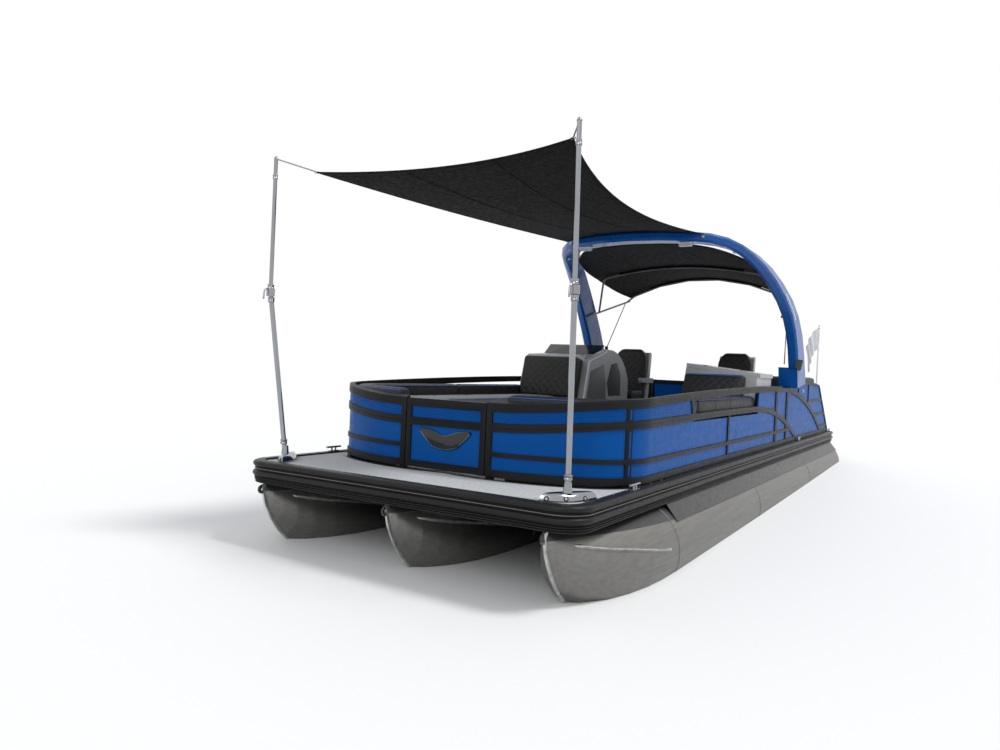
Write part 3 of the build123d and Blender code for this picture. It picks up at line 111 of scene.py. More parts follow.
def stretched_place(tree, scale):
    """A place on the piece, with each axis scaled."""
    place = put(tree, "TexCoord")
    mapping = put(tree, "Mapping")
    mapping.inputs["Scale"].default_value = scale
    tree.links.new(place.outputs["Object"], mapping.inputs["Vector"])
    return mapping.outputs["Vector"]


def noise_of(tree, place, scale):
    """Cloudy noise, about 0.3 to 0.7."""
    noise = put(tree, "TexNoise", Scale=scale, Detail=3)
    tree.links.new(place, noise.inputs["Vector"])
    return noise.outputs["Fac"]


def ranged(tree, source, low, high, source_low=0.3, source_high=0.7):
    """A source spread over another range."""
    spread = put(tree, "MapRange")
    for key, value in (("From Min", source_low), ("From Max", source_high),
                       ("To Min", low), ("To Max", high)):
        spread.inputs[key].default_value = value
    tree.links.new(source, spread.inputs["Value"])
    return spread.outputs["Result"]


def combined(tree, first, second, way="ADD"):
    """Two sources or numbers put together by one sum."""
    sums = put(tree, "Math", operation=way)
    for socket, source in zip(sums.inputs, (first, second)):
        if isinstance(source, (int, float)):
            socket.default_value = source
        else:
            tree.links.new(source, socket)
    return sums.outputs[0]


def woven(tree, place, pitch):
    """Threads that cross, as a height."""
    waves = []
    for way in "XYZ":
        wave = put(tree, "TexWave", wave_type="BANDS", bands_direction=way, wave_profile="SIN")
        wave.inputs["Scale"].default_value = 0.314 / pitch
        wave.inputs["Distortion"].default_value = 0.4
        tree.links.new(place, wave.inputs["Vector"])
        waves.append(wave.outputs["Fac"])
    return combined(tree, combined(tree, waves[0], waves[1], "MULTIPLY"), waves[2], "ADD")


def grained(tree, place, pitch):
    """Cells of leather grain, as a height."""
    cells = put(tree, "TexVoronoi", feature="SMOOTH_F1", Scale=1 / pitch, Smoothness=0.6)
    tree.links.new(place, cells.inputs["Vector"])
    return cells.outputs["Distance"]


def speckled(tree, place, pitch):
    """Fine specks, as a height."""
    return noise_of(tree, place, 1 / pitch)


RELIEFS = {"weave": woven, "leather": grained, "speckle": speckled}
# How sharp an edge starts to be painted lighter, and where this painted highlight is full
HIGHLIGHT_STARTS = 0.52
HIGHLIGHT_FULL = 0.6
COAT_ROUGHNESS = 0.06


def tint_of(colour_now, factor, lift=0.0):
    """A colour made darker or lighter."""
    return (*(min(1, channel * factor + lift) for channel in colour_now), 1)


def shader_of(material):
    """The main shader of a material."""
    return next(node for node in material.node_tree.nodes if node.type == "BSDF_PRINCIPLED")


def edge_highlighted(tree, tinted, tint, edge_highlight):
    """A colour painted lighter along sharp edges: a painted highlight."""
    highlighted = put(tree, "Mix", data_type="RGBA")
    highlighted.inputs["B"].default_value = tint_of(tint, 1.6, 0.02)
    shape = put(tree, "NewGeometry")
    edges = ranged(tree, shape.outputs["Pointiness"], 0.0, edge_highlight, HIGHLIGHT_STARTS, HIGHLIGHT_FULL)
    tree.links.new(edges, highlighted.inputs["Factor"])
    tree.links.new(tinted, highlighted.inputs["A"])
    return highlighted.outputs["Result"]


def finish(name, tint, rough, metallic=0.0, coat=0.0, sheen=0.0, mottle=0.12, mottle_pitch=0.2,
           relief="speckle", pitch=0.002, depth=0.0002, edge=0.002, stretch=(1, 1, 1), clear=0.0, edge_highlight=0.0,
           shine=0.5):
    """A material of this boat: varied colour and roughness, a relief, and edges rounded to catch light."""
    material = bpy.data.materials.new(name)
    material.use_nodes = True
    tree = material.node_tree
    shader = shader_of(material)
    place = stretched_place(tree, stretch)
    cloudy = ranged(tree, noise_of(tree, place, 1 / mottle_pitch), 0, 1)
    mix = put(tree, "Mix", data_type="RGBA")
    mix.inputs["A"].default_value = tint_of(tint, 1 - mottle)
    mix.inputs["B"].default_value = tint_of(tint, 1 + mottle)
    tree.links.new(cloudy, mix.inputs["Factor"])
    tinted = mix.outputs["Result"]
    # Sharp edges get a painted highlight: their colour is made lighter there
    if edge_highlight:
        tinted = edge_highlighted(tree, tinted, tint, edge_highlight)
    tree.links.new(tinted, shader.inputs["Base Color"])
    tree.links.new(ranged(tree, noise_of(tree, place, 6 / mottle_pitch), rough * 0.85, min(1, rough * 1.15)),
                   shader.inputs["Roughness"])
    bump = put(tree, "Bump", Strength=1.0, Distance=depth)
    tree.links.new(RELIEFS[relief](tree, place, pitch), bump.inputs["Height"])
    if edge:
        rounded = put(tree, "Bevel", Radius=edge, samples=3)
        tree.links.new(rounded.outputs["Normal"], bump.inputs["Normal"])
    tree.links.new(bump.outputs["Normal"], shader.inputs["Normal"])
    for key, value in (("Metallic", metallic), ("Coat Weight", coat), ("Coat Roughness", COAT_ROUGHNESS),
                       ("Sheen Weight", sheen), ("Transmission Weight", clear),
                       ("Specular IOR Level", shine)):
        shader.inputs[key].default_value = value
    return material


# The noses' dark paint: the X and Z of its lower edge's two ends, how sharply it ends, and how much less
# metallic it is
NOSE_PAINT_X = (2.28, 4.03)
NOSE_PAINT_Z = (0.222, 0.291)
NOSE_PAINT_SHARPNESS = 800
NOSE_PAINT_LESS_METAL = -0.9


def nose_paint(metal, dark):
    """The tubes' metal, with the dark paint that runs along the top of the noses."""
    material = metal.copy()
    material.name = "tube_metal_with_dark_top"
    tree = material.node_tree
    shader = shader_of(material)
    place = put(tree, "TexCoord")
    split = put(tree, "SeparateXYZ")
    tree.links.new(place.outputs["Object"], split.inputs["Vector"])
    line = ranged(tree, split.outputs["X"], *NOSE_PAINT_Z, *NOSE_PAINT_X)
    over = combined(tree, split.outputs["Z"], line, "SUBTRACT")
    above = combined(tree, combined(tree, over, NOSE_PAINT_SHARPNESS, "MULTIPLY"), 0.0, "MAXIMUM")
    masked = combined(tree, above, 1.0, "MINIMUM")
    mix = put(tree, "Mix", data_type="RGBA")
    mix.inputs["B"].default_value = (*dark, 1)
    base = shader.inputs["Base Color"].links[0].from_socket
    tree.links.new(base, mix.inputs["A"])
    tree.links.new(masked, mix.inputs["Factor"])
    tree.links.new(mix.outputs["Result"], shader.inputs["Base Color"])
    less = combined(tree, masked, NOSE_PAINT_LESS_METAL, "MULTIPLY")
    tree.links.new(combined(tree, less, 1.0), shader.inputs["Metallic"])
    return material


# The finishes by the name that a piece asks for
MADE = {}


def make_finishes():
    """Every finish of the boat, under the name that its pieces use."""
    c = bpy.context.scene.boat_colours
    leather = dict(relief="leather", edge=0)
    weave = dict(relief="weave", edge=0)
    MADE.update(
        paint=finish("metallic_blue_paint", c.paint, 0.42, shine=0.08, mottle=0.05, pitch=0.0012,
                     depth=0.00003),
        arch_paint=finish("arch_blue_paint", c.paint, 0.3, coat=0.15, shine=0.25, mottle=0.05, pitch=0.002,
                          depth=0.00003, edge=0.006),
        rails=finish("satin_charcoal_rail", c.rails, 0.42, shine=0.1, mottle=0.1, depth=0.00004,
                     pitch=0.001, edge_highlight=0.4),
        metal=finish("brushed_tube_metal", c.metal, 0.45, 1.0, mottle=0.1, mottle_pitch=0.6, pitch=0.02,
                     depth=0.00006, stretch=(1, 30, 30)),
        chrome=finish("polished_steel", (0.30, 0.31, 0.325), 0.14, 1.0, mottle=0.05, pitch=0.01,
                      depth=0.00002, edge=0.0015),
        mat=finish("woven_deck_mat", c.mat, 0.85, pitch=0.006, depth=0.0012, mottle=0.14,
                   mottle_pitch=0.02, **weave),
        vinyl=finish("dark_leather_grain", c.vinyl, 0.5, pitch=0.0035, depth=0.0004, shine=0.3, edge_highlight=0.3,
                     **leather),
        vinyl_light=finish("grey_leather_grain", c.vinyl_light, 0.52, pitch=0.0035, depth=0.0004,
                           sheen=0.08, edge_highlight=0.2, **leather),
        piping=finish("blue_piping", (0.01, 0.09, 0.4), 0.45, **leather),
        moulding=finish("silver_moulding", c.moulding, 0.36, coat=0.15, shine=0.3, mottle=0.06,
                        depth=0.00005, edge=0.008),
        bench=finish("grey_bench_shell", (0.09, 0.092, 0.096), 0.5, pitch=0.0015, depth=0.0002,
                     edge=0.004),
        rubber=finish("black_rub_rubber", (0.007, 0.007, 0.0075), 0.42, shine=0.2, pitch=0.003,
                      depth=0.0001, mottle=0.2, edge_highlight=0.3),
        skirt=finish("black_skirt_paint", (0.011, 0.011, 0.012), 0.35, shine=0.4, pitch=0.004,
                     depth=0.00008),
        bright=finish("bright_weld_metal", (0.5, 0.5, 0.49), 0.35, 0.9, pitch=0.004, depth=0.0003,
                      mottle=0.25, mottle_pitch=0.05),
        cloth=finish("black_shade_cloth", c.cloth, 0.85, pitch=0.0016, depth=0.0004, shine=0.15,
                     mottle=0.15, **weave),
        flag=finish("white_flag_cloth", (0.75, 0.76, 0.78), 0.8, pitch=0.0015, depth=0.0003, sheen=0.1,
                    mottle=0.05, **weave),
        white=finish("white_staff", (0.8, 0.8, 0.8), 0.35, depth=0.00003, mottle=0.03),
        glass=finish("smoke_glass", (0.05, 0.055, 0.06), 0.05, clear=0.7, depth=0.00001, mottle=0.02),
        lens=finish("lamp_lens", (0.8, 0.82, 0.85), 0.12, clear=0.5, relief="weave", pitch=0.006,
                    depth=0.0008),
        cowl=finish("dark_cowl_paint", (0.018, 0.018, 0.02), 0.22, coat=0.8, depth=0.00003, edge=0.006),
        leg=finish("dark_leg_paint", (0.03, 0.03, 0.032), 0.38, 0.2, coat=0.2, depth=0.00008, edge=0.004),
        bows=finish("grey_bow_tube", (0.16, 0.165, 0.17), 0.4, 0.7, pitch=0.01, depth=0.00004),
        grip=finish("stitched_wheel_grip", (0.018, 0.018, 0.019), 0.55, depth=0.0003, **leather),
        screen=finish("dark_gauge_glass", (0.006, 0.007, 0.01), 0.08, coat=1.0, depth=0.00001,
                      mottle=0.02),
        badge=finish("dark_badge_plate", (0.012, 0.013, 0.015), 0.3, 0.6, coat=0.5, depth=0.00003),
        hood=finish("dark_dash_hood", (0.02, 0.021, 0.022), 0.6, relief="leather", pitch=0.003,
                    depth=0.0003),
    )
    MADE["tube"] = nose_paint(MADE["metal"], (0.02, 0.02, 0.022))


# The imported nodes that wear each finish
FINISH_OF_NODES = {
    "mat": ("deck",), "tube": ("tube_port", "tube_centre", "tube_starboard"), "skirt": ("side_skirts",),
    "metal": ("cross_members", "risers", "motor_pod"), "bench": ("bow_bench_bases", "stern_lounge_base"),
    "moulding": ("helm_console", "port_console", "port_console_top", "helm_chair", "port_chair"),
    "glass": ("windscreen",), "grip": ("steering_wheel",), "lens": ("arch_lamps",), "bows": ("canopy_frame",),
    "chrome": ("chair_pedestals", "mast_castings", "mast_port", "mast_starboard", "sail_lines", "propeller",
               "ladder", "ladder_extension", "ladder_bracket", "cleats"),
    "white": ("flag_staff",), "leg": ("clamp_bracket", "swivel_bracket", "motor_leg"),
    "cowl": ("motor_cowl",),
}
NODE_FINISH = {node: made for made, nodes in FINISH_OF_NODES.items() for node in nodes}


def finish_of(node):
    """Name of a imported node's finish; the fence's and the gates' go by their names."""
    if node in NODE_FINISH:
        return NODE_FINISH[node]
    if node.endswith("_frame") or "frame_" in node:
        return "rails"
    return "paint" if "panel" in node else "rubber"


def dress_nodes():
    """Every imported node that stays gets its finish."""
    for node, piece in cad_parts.items():
        made = MADE[finish_of(node)]
        if piece.material_slots:
            for place in piece.material_slots:
                place.material = made
        else:
            piece.data.materials.append(made)


# Shapes


def piece_of(name, points, faces, made, body="hull", sharp=35.0):
    """A piece of the scene from points and faces, riding on a body."""
    mesh = bpy.data.meshes.new(name)
    mesh.from_pydata([tuple(point) for point in points], [], faces)
    mesh.validate()
    return placed(name, mesh, made, body, sharp)


def placed(name, mesh, made, body="hull", sharp=35.0):
    """A piece of the scene from a mesh, shaded smooth up to an angle, riding on a body."""
    mesh.shade_smooth()
    mesh.set_sharp_from_angle(angle=math.radians(sharp))
    piece = bpy.data.objects.new(name, mesh)
    bpy.context.scene.collection.objects.link(piece)
    mesh.materials.clear()
    mesh.materials.append(MADE[made])
    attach(piece, body)
    return piece


def mended(piece):
    """Normals of a closed piece turned outwards."""
    form = bmesh.new()
    form.from_mesh(piece.data)
    bmesh.ops.recalc_face_normals(form, faces=form.faces)
    form.to_mesh(piece.data)
    form.free()
    return piece


def swept(name, rings, made, body="hull", closed=False, sharp=35.0):
    """A skin over rings of points, each a closed loop of the same count."""
    count = len(rings[0])
    points = [point for ring in rings for point in ring]
    faces = []
    spans = len(rings) if closed else len(rings) - 1
    for row in range(spans):
        here, there = row * count, (row + 1) % len(rings) * count
        faces += [(here + k, here + (k + 1) % count, there + (k + 1) % count, there + k)
                  for k in range(count)]
    if not closed:
        faces += [tuple(range(count)), tuple(range(len(points) - 1, len(points) - count - 1, -1))]
    return mended(piece_of(name, points, faces, made, body, sharp))


def turns(count):
    """Angles evenly spaced round a circle."""
    return [2 * math.pi * k / count for k in range(count)]


def circle(centre, radius, count, side=Vector((1, 0, 0)), other=Vector((0, 1, 0))):
    """Points round a centre, in the plane of two directions."""
    return [centre + radius * (math.cos(turn) * side + math.sin(turn) * other) for turn in turns(count)]


def rod(name, path, radius, made, body="hull", sides=10, closed=False):
    """A round bar along a path of points."""
    path = [Vector(point) for point in path]
    rings = []
    side = None
    for index, point in enumerate(path):
        before = path[index - 1] if index or closed else point
        after = path[(index + 1) % len(path)] if index + 1 < len(path) or closed else point
        way = (after - before).normalized()
        if side is None:
            side = way.orthogonal().normalized()
        side = (side - way * side.dot(way)).normalized()
        rings.append(circle(point, radius, sides, side, way.cross(side)))
    return swept(name, rings, made, body, closed, sharp=60)


# A turned piece's tip keeps this radius, so that its last ring has an area
LEAST_RADIUS = 1e-5


def turned(name, profile, centre, axis, made, body="hull", sides=28):
    """A turned piece: a profile of radius and height about an axis."""
    axis = Vector(axis).normalized()
    side = axis.orthogonal().normalized()
    rings = [circle(Vector(centre) + axis * height, max(radius, LEAST_RADIUS), sides, side, axis.cross(side))
             for radius, height in profile]
    return swept(name, rings, made, body, sharp=30)


# An edge turned by more than this many radians is rounded
PLATE_CORNER = 0.6


def plate(name, outline, plane, thickness, made, body="hull", bevel=0.002):
    """A plate with rounded edges: an outline in a plane given by its origin and two directions."""
    origin, right, up = (Vector(part) for part in plane)
    out = right.cross(up).normalized()
    form = bmesh.new()
    low = [form.verts.new(origin + right * a + up * b) for a, b in outline]
    face = form.faces.new(low)
    raised = bmesh.ops.extrude_face_region(form, geom=[face])
    bmesh.ops.translate(form, vec=out * thickness,
                        verts=[item for item in raised["geom"] if isinstance(item, bmesh.types.BMVert)])
    bmesh.ops.recalc_face_normals(form, faces=form.faces)
    if bevel:
        corners = [edge for edge in form.edges if edge.calc_face_angle(0) > PLATE_CORNER]
        bmesh.ops.bevel(form, geom=corners, offset=bevel, segments=2, profile=0.6, affect="EDGES",
                        clamp_overlap=True)
    mesh = bpy.data.meshes.new(name)
    form.to_mesh(mesh)
    form.free()
    return placed(name, mesh, made, body, 40)


def joined(name, pieces):
    """Several pieces of one finish and body as one piece."""
    form = bmesh.new()
    for piece in pieces:
        form.from_mesh(piece.data)
    mesh = pieces[0].data
    form.to_mesh(mesh)
    form.free()
    for piece in pieces[1:]:
        bpy.data.objects.remove(piece, do_unlink=True)
    pieces[0].name = name
    mesh.shade_smooth()
    mesh.set_sharp_from_angle(angle=math.radians(40))
    return pieces[0]


def between(table, place):
    """A value from a table of place and values, in straight runs."""
    if place <= table[0][0]:
        return table[0][1:]
    for near, far in zip(table, table[1:]):
        if place <= far[0]:
            share = (place - near[0]) / (far[0] - near[0])
            return tuple(a + (b - a) * share for a, b in zip(near[1:], far[1:]))
    return table[-1][1:]


def slope(near, far, k):
    """Slope of a table's value k between two of its rows."""
    return (far[k] - near[k]) / (far[0] - near[0])


def smoothly(table, place):
    """A value from a table of place and values, on a smooth curve."""
    rows = [table[0], *table, table[-1]]
    last = len(rows) - 3
    index = next((k for k in range(1, last) if place <= rows[k + 1][0]), last)
    near, far = rows[index], rows[index + 1]
    before = rows[index - 1]
    after = rows[index + 2]
    run = far[0] - near[0]
    t = min(1.0, max(0.0, (place - near[0]) / run))
    out = []
    for k in range(1, len(near)):
        start = run * (slope(near, far, k) if before is near else slope(before, far, k))
        end = run * (slope(near, far, k) if after is far else slope(near, after, k))
        out.append((2 * t**3 - 3 * t**2 + 1) * near[k] + (t**3 - 2 * t**2 + t) * start
                   + (3 * t**2 - 2 * t**3) * far[k] + (t**3 - t**2) * end)
    return tuple(out)


# The way to port, level and square to the boat
PORT_WAY = Vector((0, 1, 0))
# The fence's plan: a gate across the bow, a wide nose arc, a corner arc and a straight side
FENCE_SIDE = 1.225
FENCE_FRONT = 3.6
NOSE_CENTRE = (2.2, 0.33)
NOSE_RADIUS = 1.4
CORNER_CENTRE = (3.00870, 0.725)
CORNER_RADIUS = 0.5
CORNER_TURN = math.atan2(CORNER_CENTRE[1] - NOSE_CENTRE[1], CORNER_CENTRE[0] - NOSE_CENTRE[0])
# The straight side's points lie about this far apart
FENCE_RUN = 0.12


def fence_line(inset, back, front_side=0.372, steps=14):
    """Points and outward ways of the fence's outer face on the port side, from beside the bow gate aft."""
    line = []
    first = math.asin((front_side - NOSE_CENTRE[1]) / NOSE_RADIUS)
    for k in range(steps + 1):
        turn = first + (CORNER_TURN - first) * k / steps
        line.append((NOSE_CENTRE, NOSE_RADIUS, turn))
    for k in range(1, steps + 1):
        turn = CORNER_TURN + (math.pi / 2 - CORNER_TURN) * k / steps
        line.append((CORNER_CENTRE, CORNER_RADIUS, turn))
    out = []
    for centre, radius, turn in line:
        way = Vector((math.cos(turn), math.sin(turn), 0))
        out.append((Vector((*centre, 0)) + way * (radius - inset), way))
    start = out[-1][0].x
    runs = max(2, int((start - back) / FENCE_RUN))
    for k in range(1, runs + 1):
        out.append((Vector((start + (back - start) * k / runs, FENCE_SIDE - inset, 0)), PORT_WAY))
    return out


def along_fence(name, line, heights, profile, made, hand):
    """A profile of outward distance and height carried along the fence, at a height for each place."""
    rings = []
    for point, way in line:
        base = heights(point.x) + DECK
        rings.append([Vector((point.x + way.x * out, hand * (point.y + way.y * out), base + up))
                      for out, up in profile])
    return swept(name, rings, made)


# Heights over the deck of the top rail's upper edge and the second rail's, against X
TOP_RAIL = ((-3.25, 0.668), (-2.79, 0.697), (-1.8, 0.684), (-1.33, 0.63), (-0.9, 0.647), (0.8, 0.628),
            (2.0, 0.594), (2.7, 0.571), (3.2, 0.557), (3.44, 0.533), (3.62, 0.485))
SECOND_RAIL = ((-0.5, 0.444), (0.2, 0.452), (0.8, 0.447), (2.0, 0.436), (2.7, 0.428), (3.2, 0.42),
               (3.44, 0.399), (3.62, 0.353))


def top_height(place):
    """Height of the top rail's upper edge over the deck."""
    return between(TOP_RAIL, place)[0]


def second_height(place):
    """Height of the second rail's upper edge over the deck."""
    return between(SECOND_RAIL, place)[0]


# Operators


# The floor lies at the water: its reach, its level under the boat's origin, and how it falls along X and Y
FLOOR_REACH = 60.0
FLOOR_LEVEL = 0.0014
FLOOR_FALL = (-0.0222, -0.0126)
FLOOR_GREY = 0.86
# The light of the sky, which the camera, mirrors and glass see as white
SKY_COLOUR = (0.93, 0.96, 1.0, 1)
SKY_STRENGTH = 0.62
# Each lamp's name, the way towards it, its strength and its softness
LAMPS = (("key", (-0.25, 0.62, 1.05), 1.7, 0.25), ("fill", (0.9, 0.1, 0.6), 0.7, 0.6))
# The photograph's view: the camera's lens, its place, and the ways to its right, down and ahead
CAMERA_LENS = 27.509
CAMERA_PLACE = (7.7331, 2.9768, 1.2033)
CAMERA_RIGHT = Vector((-0.52652728, 0.84901936, 0.04399035))
CAMERA_DOWN = Vector((-0.01431521, 0.04288244, -0.99897756))
CAMERA_AHEAD = Vector((-0.85003771, -0.52661867, -0.01042489))
VIEW_REACH = 300


class BOAT_OT_stage(bpy.types.Operator):
    """Lay the pale water floor, the soft lights and the camera"""
    bl_idname = "boat.stage"
    bl_label = "Stage"
    bl_options = {"REGISTER", "UNDO"}

    def execute(self, context):
        scene = context.scene
        scene.view_settings.view_transform = "Standard"
        fall_x, fall_y = FLOOR_FALL
        corners = [(FLOOR_REACH * x, FLOOR_REACH * y, FLOOR_LEVEL + FLOOR_REACH * (fall_x * x + fall_y * y))
                   for x, y in ((-1, -1), (1, -1), (1, 1), (-1, 1))]
        mesh = bpy.data.meshes.new("calm_floor")
        mesh.from_pydata(corners, [], [(0, 1, 2, 3)])
        floor = bpy.data.objects.new("calm_floor", mesh)
        scene.collection.objects.link(floor)
        floor_paint = bpy.data.materials.new("pale_floor")
        floor_paint.use_nodes = True
        shader = shader_of(floor_paint)
        shader.inputs["Base Color"].default_value = (FLOOR_GREY, FLOOR_GREY, FLOOR_GREY, 1)
        shader.inputs["Roughness"].default_value = 0.7
        mesh.materials.append(floor_paint)
        world = scene.world or bpy.data.worlds.new("soft_sky")
        scene.world = world
        world.use_nodes = True
        tree = world.node_tree
        tree.nodes.clear()
        rays = put(tree, "LightPath")
        seen = combined(tree, rays.outputs["Is Camera Ray"], rays.outputs["Is Glossy Ray"], "MAXIMUM")
        seen = combined(tree, seen, rays.outputs["Is Transmission Ray"], "MAXIMUM")
        soft = put(tree, "Background", Color=SKY_COLOUR, Strength=SKY_STRENGTH)
        white = put(tree, "Background", Color=(1, 1, 1, 1), Strength=1.0)
        choice = put(tree, "MixShader")
        tree.links.new(seen, choice.inputs[0])
        tree.links.new(soft.outputs[0], choice.inputs[1])
        tree.links.new(white.outputs[0], choice.inputs[2])
        tree.links.new(choice.outputs[0], put(tree, "OutputWorld").inputs[0])
        for name, way, strength, softness in LAMPS:
            lamp = bpy.data.lights.new(name, "SUN")
            lamp.energy = strength
            lamp.angle = softness
            light = bpy.data.objects.new(name, lamp)
            light.rotation_euler = Vector(way).to_track_quat("Z", "Y").to_euler()
            scene.collection.objects.link(light)
        eye = bpy.data.cameras.new("photo_camera")
        eye.sensor_width = 36
        eye.lens = CAMERA_LENS
        eye.clip_end = VIEW_REACH
        camera = bpy.data.objects.new("photo_camera", eye)
        turn = Matrix((CAMERA_RIGHT, -CAMERA_DOWN, -CAMERA_AHEAD)).transposed().to_4x4()
        camera.matrix_world = Matrix.Translation(CAMERA_PLACE) @ turn
        scene.collection.objects.link(camera)
        scene.camera = camera
        return {"FINISHED"}


class BOAT_OT_finishes(bpy.types.Operator):
    """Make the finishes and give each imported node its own"""
    bl_idname = "boat.finishes"
    bl_label = "Finishes"
    bl_options = {"REGISTER", "UNDO"}

    def execute(self, context):
        make_finishes()
        dress_nodes()
        return {"FINISHED"}


# The rub rail's profile and its bright line's: outward distance and height over its lower edge
RUB_PROFILE = ((-0.034, 0.150), (-0.034, 0.139), (-0.001, 0.137), (-0.001, 0.0), (0.022, 0.0),
               (0.026, 0.003), (0.026, 0.008), (0.020, 0.011), (0.020, 0.015), (0.031, 0.018),
               (0.031, 0.022), (0.021, 0.025),
               (0.021, 0.029), (0.033, 0.032), (0.033, 0.036), (0.024, 0.040), (0.024, 0.043), (0.036, 0.048),
               (0.043, 0.056), (0.0448, 0.065), (0.043, 0.074), (0.036, 0.082), (0.024, 0.086),
               (0.024, 0.091),
               (0.030, 0.093), (0.030, 0.101), (0.023, 0.103), (0.023, 0.108), (0.034, 0.112), (0.041, 0.119),
               (0.0445, 0.128), (0.042, 0.138), (0.034, 0.146), (0.022, 0.150))
BRIGHT_LINE = ((0.0298, 0.0945), (0.0325, 0.0955), (0.0325, 0.0985), (0.0298, 0.0995))
RUB_BOTTOM = 0.342
# The deck's outline under the rail: its ends, its half width, its corners and half the motor well
RAIL_BACK = -4.175
RAIL_FRONT = 4.135
RAIL_SIDE = 1.25
BACK_CORNER = 0.065
FRONT_CORNER = 0.145
WELL_HALF = 0.45
# Screws along the rail: a screw's profile, its level, its lines and its spacing
SCREW = ((0, 0.0035), (0.003, 0.0032), (0.0048, 0.0015), (0.005, -0.001))
SCREW_LEVEL = DECK + 0.0125
SCREW_SIDE = 1.228
SCREW_FRONT = 4.113
SCREW_STEP = 0.2
# Where the rail's two lengths meet on each side, and the cover's width and place there
JOINT_X = 2.46
JOINT_SIDE = 1.2503
JOINT_WIDTH = 0.03


def rub_line(steps=9):
    """Points and outward ways round the deck, from one side of the motor well to the other."""
    line = []
    corners = (((RAIL_BACK, RAIL_SIDE), BACK_CORNER, 180, 90), ((RAIL_FRONT, RAIL_SIDE), FRONT_CORNER, 90, 0),
               ((RAIL_FRONT, -RAIL_SIDE), FRONT_CORNER, 0, -90),
               ((RAIL_BACK, -RAIL_SIDE), BACK_CORNER, -90, -180))
    line.append((Vector((RAIL_BACK, WELL_HALF, 0)), Vector((-1, 0, 0))))
    for (x, y), radius, first, last in corners:
        centre = Vector((x - math.copysign(radius, x), y - math.copysign(radius, y), 0))
        for k in range(steps + 1):
            turn = math.radians(first + (last - first) * k / steps)
            way = Vector((math.cos(turn), math.sin(turn), 0))
            line.append((centre + way * radius, way))
    line.append((Vector((RAIL_BACK, -WELL_HALF, 0)), Vector((-1, 0, 0))))
    return line


def rail_rings(profile):
    """A profile of outward distance and height carried round the deck."""
    return [[Vector((point.x + way.x * out, point.y + way.y * out, RUB_BOTTOM + up)) for out, up in profile]
            for point, way in rub_line()]


class BOAT_OT_rub_rail(bpy.types.Operator):
    """Sweep the ribbed rubber rail round the deck, with its bright line and screws"""
    bl_idname = "boat.rub_rail"
    bl_label = "Rub rail"
    bl_options = {"REGISTER", "UNDO"}

    def execute(self, context):
        cover = swept("rub_rail_cover", rail_rings(RUB_PROFILE), "rubber", sharp=50)
        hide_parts("rub_rail")
        swept("rub_rail_bright_line", rail_rings(BRIGHT_LINE), "metal")
        places = [(place * SCREW_STEP, hand * SCREW_SIDE) for place in range(-19, 20) for name, hand in SIDES]
        places += [(SCREW_FRONT, place * SCREW_STEP) for place in range(-5, 6)]
        joined("rub_rail_screws", [turned("screw", SCREW, (*place, SCREW_LEVEL), (0, 0, 1), "chrome", sides=8)
                                   for place in places])
        joined("rub_rail_joints", [plate("joint", RUB_PROFILE[4:],
                                         ((JOINT_X, hand * JOINT_SIDE, RUB_BOTTOM), (0, hand, 0), (0, 0, 1)),
                                         JOINT_WIDTH * hand, "rubber", bevel=0) for name, hand in SIDES])
        return {"FINISHED"}


# The upper band's ribs: their number, how far they stand out, and where their root and rounded edge lie
RIBS = 6
RIB_DEPTH = 0.0035
RIB_ROOT = -0.004
RIB_EDGE = 0.001
# The ribbed band ends below the top rail by this much, and stands in from the fence's face
BAND_DROP = 0.056
BAND_INSET = 0.010
BAND_BACK = 2.16
# A bead's profile, how far each lies under its rail's upper edge, and where the beads end on each side
BEAD = ((-0.002, 0.0), (0.002, 0.001), (0.0028, 0.003), (0.002, 0.005), (-0.002, 0.006))
TOP_BEADS = (0.017, 0.031, 0.045)
SECOND_BEAD = 0.028
BEADS_BACK = {1: -0.6, -1: -0.9}
BESIDE_GATE = 0.375
# The blue strips of the corner post: its X, half a strip's width, its thickness and the strips' levels
POST_X = 3.24
STRIP_HALF = 0.0065
STRIP_DEPTH = 0.0025
STRIP_LEVELS = ((0.072, 0.142), (0.186, 0.355), (0.428, 0.49))
# The gate's rivets: their profile, their sideways place, the first one's level and their spacing
RIVET = ((0, 0.003), (0.0035, 0.0022), (0.005, 0))
RIVET_SIDE = 0.301
RIVET_FIRST = 0.09
RIVET_STEP = 0.045
# The gate's ribs: their lowest level, the band's height, half a rib's length, its place and its depth
GATE_BAND = 0.362
GATE_BAND_HEIGHT = 0.062
GATE_RIB_HALF = 0.278
GATE_RIB_IN = 0.0105
GATE_RIB_DEPTH = 0.0038
# Half of the bare shield's outline from its middle, the level of its foot, and the level it narrows about
SHIELD = [(0, 0.100), (0.02, 0.098), (0.06, 0.112), (0.115, 0.132), (0.205, 0.136), (0.212, 0.122),
          (0.165, 0.072), (0.105, 0.018), (0.05, 0.004), (0, 0)]
SHIELD_FOOT = DECK + 0.154
SHIELD_HEART = 0.062


def upright(half, low, high):
    """Outline of an upright strip about its middle line."""
    return [(-half, low), (half, low), (half, high), (-half, high)]


